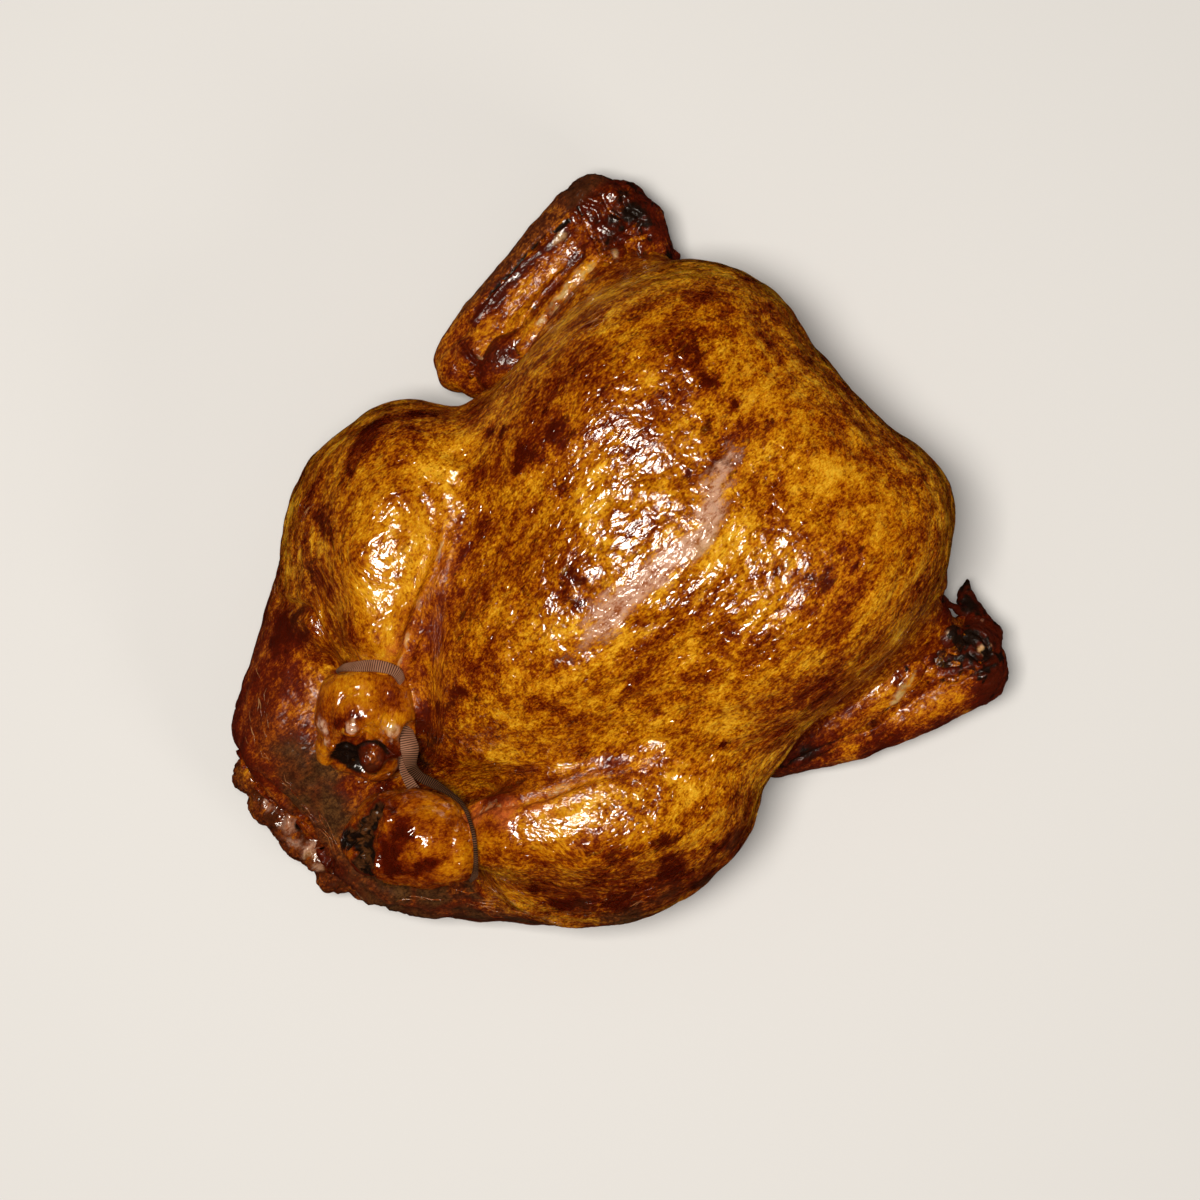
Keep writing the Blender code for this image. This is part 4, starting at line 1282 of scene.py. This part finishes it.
def build_elastic(settings):
    width, thick, rib = settings.width / MM, settings.thickness / MM, settings.rib / MM
    places, ways, travelled = band_stations(0.16)
    tangent = unit(np.roll(places, -1, axis=0) - np.roll(places, 1, axis=0))
    across = unit(np.cross(tangent, ways))
    facing = np.cross(across, tangent)
    # A flat oval section: width share, thickness share.
    turns = np.arange(20) / 20 * 2 * pi
    side = np.sign(np.cos(turns)) * np.abs(np.cos(turns)) ** 0.6
    face = np.sign(np.sin(turns)) * np.abs(np.sin(turns)) ** 0.45
    swell = 1.0 + 0.22 * np.sin(travelled / rib * 2 * pi)
    spread = np.random.default_rng(3).uniform(0.9, 1.05, 40)
    spread = np.interp(travelled, np.linspace(0, travelled[-1], len(spread)), spread)
    knots = places_tree([place for place, _, _ in BAND_LOOP])
    for index, place in enumerate(places):
        (_, first, near), (_, second, far) = knots.find_n(place, 2)
        spread[index] *= (BAND_LOOP[first][2] * far + BAND_LOOP[second][2] * near) / (near + far)
    rings = (
        places[:, None, :]
        + across[:, None, :] * (side[None, :, None] * width / 2 * spread[:, None, None])
        + facing[:, None, :] * (face[None, :, None] * thick / 2 * swell[:, None, None])
    )
    count, sides = len(places), len(turns)
    faces = []
    for ring, corner in itertools.product(range(count), range(sides)):
        low, high, after = ring * sides, (ring + 1) % count * sides, (corner + 1) % sides
        faces.append((low + corner, low + after, high + after, high + corner))
    band = piece_of_rings("trussing_band", rings.reshape(-1, 3), faces)
    x, y, z = points_of(band).T
    keep_values(band, "lengthwise", np.repeat(travelled, sides))
    keep_values(band, "crosswise", np.tile(side, count) * width / 2)
    # Painted shade: it is darkest between the knuckles, and on its edge where it turns down round them; the
    # smudges are real stains.
    gap = 1.3 * np.exp(-(((y + 2.5) / 9.0) ** 4)) * (z > 58)
    edge_on = 0.9 * smooth_step(-y, 6.0, 12.0) + 0.4 * smooth_step(-x, 58.0, 61.0) * (y > 35)
    smudges = 0.25 * rough_lumps(points_of(band), 6.0, 81, 2)
    keep_values(band, "shade_and_smudges", np.clip(gap + edge_on + smudges, 0.0, 1.0))
    return band


# ---------------------------------------------------------------- materials


def linear(hex_colour):
    """An sRGB hex value as the linear RGBA that Blender works in."""
    values = [int(hex_colour[place : place + 2], 16) / 255 for place in (1, 3, 5)]
    return (*(v / 12.92 if v <= 0.04045 else ((v + 0.055) / 1.055) ** 2.4 for v in values), 1.0)


def node(tree, kind, inputs=None, give=None, **settings):
    """Adds a node with its settings, sets or links its inputs, and gives the named output or the first."""
    made = tree.nodes.new(kind)
    for key, value in settings.items():
        setattr(made, key, value)
    for key, value in (inputs or {}).items():
        named = [socket for socket in made.inputs if socket.enabled and socket.name == key]
        socket = named[0] if named else made.inputs[key]
        if isinstance(value, bpy.types.NodeSocket):
            tree.links.new(value, socket)
        else:
            socket.default_value = value
    return next((socket for socket in made.outputs if socket.enabled and give in (None, socket.name)), None)


def new_material(name):
    material = bpy.data.materials.new(name)
    material.use_nodes = True
    material.node_tree.nodes.clear()
    return material, partial(node, material.node_tree)


def roasted_skin(settings):
    """Chicken skin, oven roasted under a sugar and fat glaze.

    The glaze lies over the skin as a thin clear coat that flows round the pores, so highlights are small
    and sharp. Under it the skin browns in mottles that are drawn out the way the skin shrank.
    """
    material, add = new_material(SKIN_FINISH)
    field = {name: add("ShaderNodeAttribute", give="Fac", attribute_name=name) for name in PAINTS}
    grain = add("ShaderNodeAttribute", give="Vector", attribute_name="grain")
    place = add("ShaderNodeTexCoord", give="Object")
    even = add("ShaderNodeVectorMath", {0: place, "Scale": 1.0 / MM}, operation="SCALE")
    drawn = add("ShaderNodeMix", {"Factor": 0.4, "A": even, "B": grain}, data_type="VECTOR")

    # Patterns: name, the space it lies in, size in millimetres, detail, roughness and warp.
    for name, space, size, detail, rough, warp in (
        ("broad", even, 13.0, 2.0, 0.5, 0.0),
        ("patch", grain, 6.5, 3.0, 0.6, 0.4),
        ("mottle", drawn, 2.5, 4.0, 0.75, 0.25),
        ("speckle", drawn, 0.8, 4.0, 0.75, 0.0),
        ("hair", grain, 0.5, 1.0, 0.5, 0.0),
        ("freckle", grain, 3.1, 5.0, 0.72, 0.3),
        ("grit", drawn, 1.25, 4.0, 0.72, 0.2),
        ("caught", grain, 1.9, 5.0, 0.74, 0.35),
        ("bead", drawn, 2.3, 1.5, 0.5, 0.3),
        ("pucker", grain, 1.3, 2.0, 0.5, 0.3),
        ("puddle", drawn, 3.0, 4.0, 0.65, 0.4),
    ):
        inputs = {"Vector": space, "Scale": 1.0 / size, "Detail": detail, "Roughness": rough}
        field[name] = add("ShaderNodeTexNoise", {**inputs, "Distortion": warp})

    # Sums: name, what it starts from, each field in it with its weight, and the span it is sharpened to.
    for name, total, parts, *span in (
        ("contrast", 1.0, {"calm": -0.6}),
        ("mottling", -2.185, {"broad": 0.75, "patch": 0.85, "mottle": 1.12, "speckle": 1.05, "hair": 0.6}),
        # The browning field also carries painted shade, so shaded skin is darkened here too.
        ("shaded", 0.415, {"browning": 0.6, "blotch": 0.4, "golden": -0.22, "streak": 0.048}),
        ("roast", 0.0, {"mottling": "contrast", "shaded": 1.0}),
        ("brown", 0.0, {"roast": 1.0}, 0.3, 0.9),
        # Crisp light freckles where the fat has rendered.
        ("rendered", 0.0, {"freckle": 1.0, "patch": -0.5, "golden": 0.12, "browning": -0.5}, 0.32, 0.4),
        ("flushed", 0.0, {"rosy": 1.0, "mottle": 0.8}, 0.7, 1.3),
        ("stippled", 0.0, {"grit": 1.0, "roast": 0.3, "calm": -0.1, "golden": -0.05}, 0.6, 0.7),
        # Crisp stains where the glaze has caught.
        ("glazing", 0.0, {"blotch": 0.3, "browning": 0.1, "golden": -0.08, "streak": 0.02, "calm": -0.1}),
        ("stained", 0.0, {"glazing": 1.0, "caught": 1.0, "patch": 0.45}, 0.84, 0.92),
        ("dried", 0.0, {"dry": 1.0, "mottle": 0.8, "speckle": 0.6}, 0.9, 1.9),
        ("hollowed", 0.0, {"mottle": 1.0, "speckle": 0.8}, 0.72, 1.05),
        ("ridged", 0.0, {"crinkle": 1.0, "mottle": 0.5, "speckle": 0.8}, 0.95, 1.45),
        ("bared", 0.0, {"keel": 1.0, "mottle": 0.9, "speckle": 0.5, "patch": 0.6, "streak": 0.05}, 1.3, 1.8),
        ("tanned", 0.0, {"caught": 1.0, "speckle": 0.4}, 0.62, 0.86),
        # Char, which between the knuckles and under the left knuckle is painted shade.
        ("burnt", 0.0, {"char": 1.0, "mottle": 0.8, "speckle": 0.5}, 0.95, 1.5),
        # The glaze gathers in flat topped beads, which throw back whole patches of light with ragged edges.
        ("beads", 0.0, {"bead": 1.0}, 0.36, 0.64),
        # Heights in millimetres: the glaze's beads, the drawn wrinkles, then the pores.
        ("relief", 0.0, {"beads": 0.2, "pucker": 0.2, "speckle": 0.07, "hair": 0.02, "brown": -0.05}),
        ("smoothing", 1.0, {"calm": -0.55}),
        ("height", 0.0, {"relief": "smoothing"}),
        # The clear coat lies in puddles, and there is less of it on dry and burnt skin.
        ("puddled", 0.0, {"puddle": 1.0, "calm": 0.06}, 0.4, 0.48),
        ("glazed", 0.3, {"puddled": 0.7}),
        ("unburnt", 1.0, {"burnt": -0.5}),
        ("glossy", 0.0, {"glazed": "unburnt"}),
        ("coat", 0.0, {"wet": "glossy"}),
        ("rough", 0.58, {"wet": -0.28}),
    ):
        for part, weight in parts.items():
            inputs = {0: field[part], 1: field.get(weight, weight), 2: total}
            total = add("ShaderNodeMath", inputs, operation="MULTIPLY_ADD")
        if span:
            inputs = {"Value": total, "From Min": span[0], "From Max": span[1]}
            total = add("ShaderNodeMapRange", inputs, interpolation_type="SMOOTHSTEP")
        field[name] = total

    tone = {"roasted": add("ShaderNodeValToRGB", {"Fac": field["roast"]})}
    scale = tone["roasted"].node.color_ramp.elements
    stops = (
        (0.0, settings.golden), (0.2, settings.honey), (0.42, settings.amber), (0.6, settings.rust),
        (0.78, settings.mahogany), (1.0, settings.maroon),
    )  # fmt: skip
    while len(scale) < len(stops):
        scale.new(0.5)
    for element, (position, shade) in zip(scale, stops):
        element.position, element.color = position, linear(shade)

    # Layers of colour: name, the tone below, where and how strongly it is covered, and the tone above.
    for name, below, where, strength, above in (
        ("parched", settings.dry, "hollowed", 1.0, settings.dry_hollow),
        ("gristle", settings.keel, "tanned", 1.0, settings.tanned),
        ("gristle", "gristle", "golden", 0.85, settings.fat),
        ("skin", "roasted", "rendered", 0.3, settings.golden),
        ("skin", "skin", "flushed", 0.7, settings.rosy),
        ("skin", "skin", "stippled", 0.5, settings.mahogany),
        ("skin", "skin", "stained", 0.8, settings.stain),
        ("skin", "skin", "dried", 0.88, "parched"),
        ("skin", "skin", "ridged", 0.7, settings.crinkle),
        ("skin", "skin", "bared", 0.92, "gristle"),
        ("skin", "skin", "burnt", 1.0, settings.char),
    ):
        share = add("ShaderNodeMath", {0: field[where], 1: strength}, operation="MULTIPLY")
        below, above = (tone[shade] if shade in tone else linear(shade) for shade in (below, above))
        tone[name] = add("ShaderNodeMix", {"Factor": share, "A": below, "B": above}, data_type="RGBA")

    bump = add("ShaderNodeBump", {"Strength": 1.0, "Distance": MM, "Height": field["height"]})
    shader = add(
        "ShaderNodeBsdfPrincipled",
        {
            "Base Color": tone["skin"],
            "Roughness": field["rough"],
            "IOR": 1.45,
            "Specular IOR Level": 0.08,
            "Subsurface Weight": 0.12,
            "Subsurface Radius": (1.0, 0.42, 0.16),
            "Subsurface Scale": 1.6 * MM,
            "Coat Weight": field["coat"],
            "Coat Roughness": 0.07,
            "Coat IOR": 2.0,
            "Normal": bump,
            "Coat Normal": bump,
        },
    )
    add("ShaderNodeOutputMaterial", {"Surface": shader})
    return material


def roasted_elastic(settings):
    """Knit covered rubber elastic, stained by the roasting: fine ribs across it over a matt yarn."""
    material, add = new_material("stained_knit_elastic")
    place = add("ShaderNodeTexCoord", give="Object")
    yarn_spacing = 0.55
    waves = {}
    for name, spacing in (("lengthwise", settings.rib / MM), ("crosswise", yarn_spacing)):
        travelled = add("ShaderNodeAttribute", give="Fac", attribute_name=name)
        turn = add("ShaderNodeMath", {0: travelled, 1: 2 * pi / spacing}, operation="MULTIPLY")
        waves[name] = add("ShaderNodeMath", {0: turn}, operation="SINE")
    rib, yarn = waves["lengthwise"], waves["crosswise"]
    shade_and_smudges = add("ShaderNodeAttribute", give="Fac", attribute_name="shade_and_smudges")
    fuzz = add("ShaderNodeTexNoise", {"Vector": place, "Scale": 1.0 / (0.5 * MM), "Detail": 2.0})
    stain = add("ShaderNodeTexNoise", {"Vector": place, "Scale": 1.0 / (5 * MM), "Detail": 2.0})
    # Painted shade darkens the gaps between the ribs, and where the band is darkened as shade only the rib
    # tops are lit, a painted highlight.
    crest = add("ShaderNodeMapRange", {"Value": rib, "From Min": -1.0, "From Max": 0.4})
    glint = add("ShaderNodeMapRange", {"Value": rib, "From Min": 0.3, "From Max": 1.0})
    tone = {}
    for name, below, share, above in (
        ("soaked", settings.stain, stain, settings.colour),
        ("ribbed", settings.gap, crest, "soaked"),
        ("burnt", settings.soot, glint, settings.burnt_rib),
        ("elastic", "ribbed", shade_and_smudges, "burnt"),
    ):
        below, above = (tone[shade] if shade in tone else linear(shade) for shade in (below, above))
        tone[name] = add("ShaderNodeMix", {"Factor": share, "A": below, "B": above}, data_type="RGBA")
    weave = add("ShaderNodeMath", {0: yarn, 1: 0.03, 2: fuzz}, operation="MULTIPLY_ADD")
    bump = add("ShaderNodeBump", {"Strength": 0.6, "Distance": 0.12 * MM, "Height": weave})
    finish = {"Base Color": tone["elastic"], "Roughness": 0.75, "Specular IOR Level": 0.12, "Normal": bump}
    add("ShaderNodeOutputMaterial", {"Surface": add("ShaderNodeBsdfPrincipled", finish)})
    return material


def backdrop_paper(settings):
    """Matt studio paper, rolled smooth: an even pale floor with only a trace of tooth."""
    material, add = new_material("matt_backdrop_paper")
    place = add("ShaderNodeTexCoord", give="Object")
    tooth = add("ShaderNodeTexNoise", {"Vector": place, "Scale": 900.0, "Detail": 2.0})
    bump = add("ShaderNodeBump", {"Strength": 0.1, "Distance": 0.1 * MM, "Height": tooth})
    finish = {"Base Color": linear(settings.floor), "Roughness": 0.9, "Normal": bump}
    add("ShaderNodeOutputMaterial", {"Surface": add("ShaderNodeBsdfPrincipled", finish)})
    return material


# ---------------------------------------------------------------- operators


def shared_skin(settings):
    """The one skin material, made when the first piece asks for it."""
    return bpy.data.materials.get(SKIN_FINISH) or roasted_skin(settings)


def settle(piece, material, slot, *nodes):
    """Gives a finished piece its material and its place in the part."""
    piece.data.materials.clear()
    piece.data.materials.append(material)
    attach(piece, BODY)
    if nodes:
        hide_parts(*nodes)


class BuildRoastSkin(bpy.types.Operator):
    """Build the bird's skin, from the tail to the neck"""

    bl_idname = "roast_chicken.skin"
    bl_label = "Roast skin"

    def execute(self, context):
        settings = context.scene.roast_skin
        settle(build_skin(settings), shared_skin(settings), "roasted_skin", "chicken")
        return {"FINISHED"}


class BuildWings(bpy.types.Operator):
    """Build both wings, each with its forearm and hand"""

    bl_idname = "roast_chicken.wings"
    bl_label = "Wings"

    def execute(self, context):
        settings = context.scene.roast_skin
        for build in (build_right_wing, build_left_wing):
            settle(build(settings), shared_skin(settings), "roasted_skin")
        return {"FINISHED"}


class BuildKnuckles(bpy.types.Operator):
    """Build the bare knuckle at the end of each leg"""

    bl_idname = "roast_chicken.knuckles"
    bl_label = "Knuckles"

    def execute(self, context):
        settings = context.scene.roast_skin
        for build in (build_right_knuckle, build_left_knuckle):
            settle(build(settings), shared_skin(settings), "roasted_skin")
        return {"FINISHED"}


class BuildTail(bpy.types.Operator):
    """Build the lumpy trimmed end of the tail"""

    bl_idname = "roast_chicken.tail"
    bl_label = "Tail"

    def execute(self, context):
        settings = context.scene.roast_skin
        settle(build_tail(settings), shared_skin(settings), "roasted_skin")
        return {"FINISHED"}


class BuildFolds(bpy.types.Operator):
    """Build the thin folds that run along the rump, the flanks and the thighs"""

    bl_idname = "roast_chicken.folds"
    bl_label = "Thin folds"

    def execute(self, context):
        settle(build_folds(), shared_skin(context.scene.roast_skin), "roasted_skin")
        return {"FINISHED"}


class BuildElastic(bpy.types.Operator):
    """Build the loop of ribbed elastic round both ankles"""

    bl_idname = "roast_chicken.elastic"
    bl_label = "Elastic"

    def execute(self, context):
        settings = context.scene.roast_trussing
        settle(build_elastic(settings), roasted_elastic(settings), "elastic", "trussing_elastic")
        return {"FINISHED"}


class BuildStage(bpy.types.Operator):
    """Build the floor, the lights and the camera"""

    bl_idname = "roast_chicken.stage"
    bl_label = "Stage"

    floor_size, floor_drop = 6.0, 0.2 * MM
    camera_place, camera_turn = (0.01198, 0.00288, 1.08), -43.0
    sensor_width, lens, far_clip = 36.0, 99.08, 20.0

    def execute(self, context):
        settings = context.scene.roast_stage
        bpy.ops.object.select_all(action="DESELECT")
        bpy.ops.mesh.primitive_plane_add(size=self.floor_size, location=(0.0, 0.0, -self.floor_drop))
        floor = context.object
        floor.name = "studio_floor"
        floor.visible_glossy = False
        floor.data.materials.append(backdrop_paper(settings))

        # The side light only fills: mirrored in the glaze it would lay a grey veil over the dark skin.
        for name, place, size, power, mirrored in (
            ("overhead_softbox", (-0.12, 0.12, 1.36), (0.36, 0.46), settings.key_power, True),
            ("side_softbox", (0.15, -1.1, 0.8), (0.4, 0.3), settings.side_power, False),
        ):
            bpy.ops.object.light_add(type="AREA", location=place)
            lamp = context.object
            lamp.name = name
            lamp.data.shape = "RECTANGLE"
            lamp.data.size, lamp.data.size_y = size
            lamp.data.energy = power
            lamp.data.color = linear(settings.lamp)[:3]
            lamp.visible_glossy = mirrored
            lamp.rotation_euler = (Vector(place) * -1.0).to_track_quat("-Z", "Y").to_euler()

        world = bpy.data.worlds.new("pale_room")
        context.scene.world = world
        world.use_nodes = True
        world.cycles_visibility.glossy = False
        background = world.node_tree.nodes["Background"]
        background.inputs["Color"].default_value = linear(settings.room)
        background.inputs["Strength"].default_value = settings.ambient

        turn = (0.0, 0.0, radians(self.camera_turn))
        bpy.ops.object.camera_add(location=self.camera_place, rotation=turn)
        camera = context.object
        camera.data.sensor_width = self.sensor_width
        camera.data.lens = self.lens
        camera.data.clip_end = self.far_clip
        context.scene.camera = camera
        context.scene.view_settings.view_transform = "Standard"
        return {"FINISHED"}


class RoastChickenPanel(bpy.types.Panel):
    """Sidebar panel with each step of the bird"""

    bl_idname = "VIEW3D_PT_roast_chicken"
    bl_label = "Roast chicken"
    bl_space_type = "VIEW_3D"
    bl_region_type = "UI"
    bl_category = "Roast chicken"

    def draw(self, context):
        for step in STEPS:
            self.layout.operator(step.bl_idname)


# The fine pieces come before the skin, which is tucked under them.
STEPS = (BuildWings, BuildKnuckles, BuildTail, BuildRoastSkin, BuildFolds, BuildElastic, BuildStage)
SETTINGS = {
    "roast_skin": RoastSkinSettings,
    "roast_trussing": TrussingSettings,
    "roast_stage": StageSettings,
}


def register():
    for group in (*SETTINGS.values(), *STEPS, RoastChickenPanel):
        bpy.utils.register_class(group)
    for name, group in SETTINGS.items():
        setattr(bpy.types.Scene, name, bpy.props.PointerProperty(type=group))


def unregister():
    for name in SETTINGS:
        delattr(bpy.types.Scene, name)
    for group in reversed((*SETTINGS.values(), *STEPS, RoastChickenPanel)):
        bpy.utils.unregister_class(group)


def main():
    register()
    for step in STEPS:
        family, name = step.bl_idname.split(".")
        getattr(getattr(bpy.ops, family), name)()


if __name__ == "__main__":
    main()
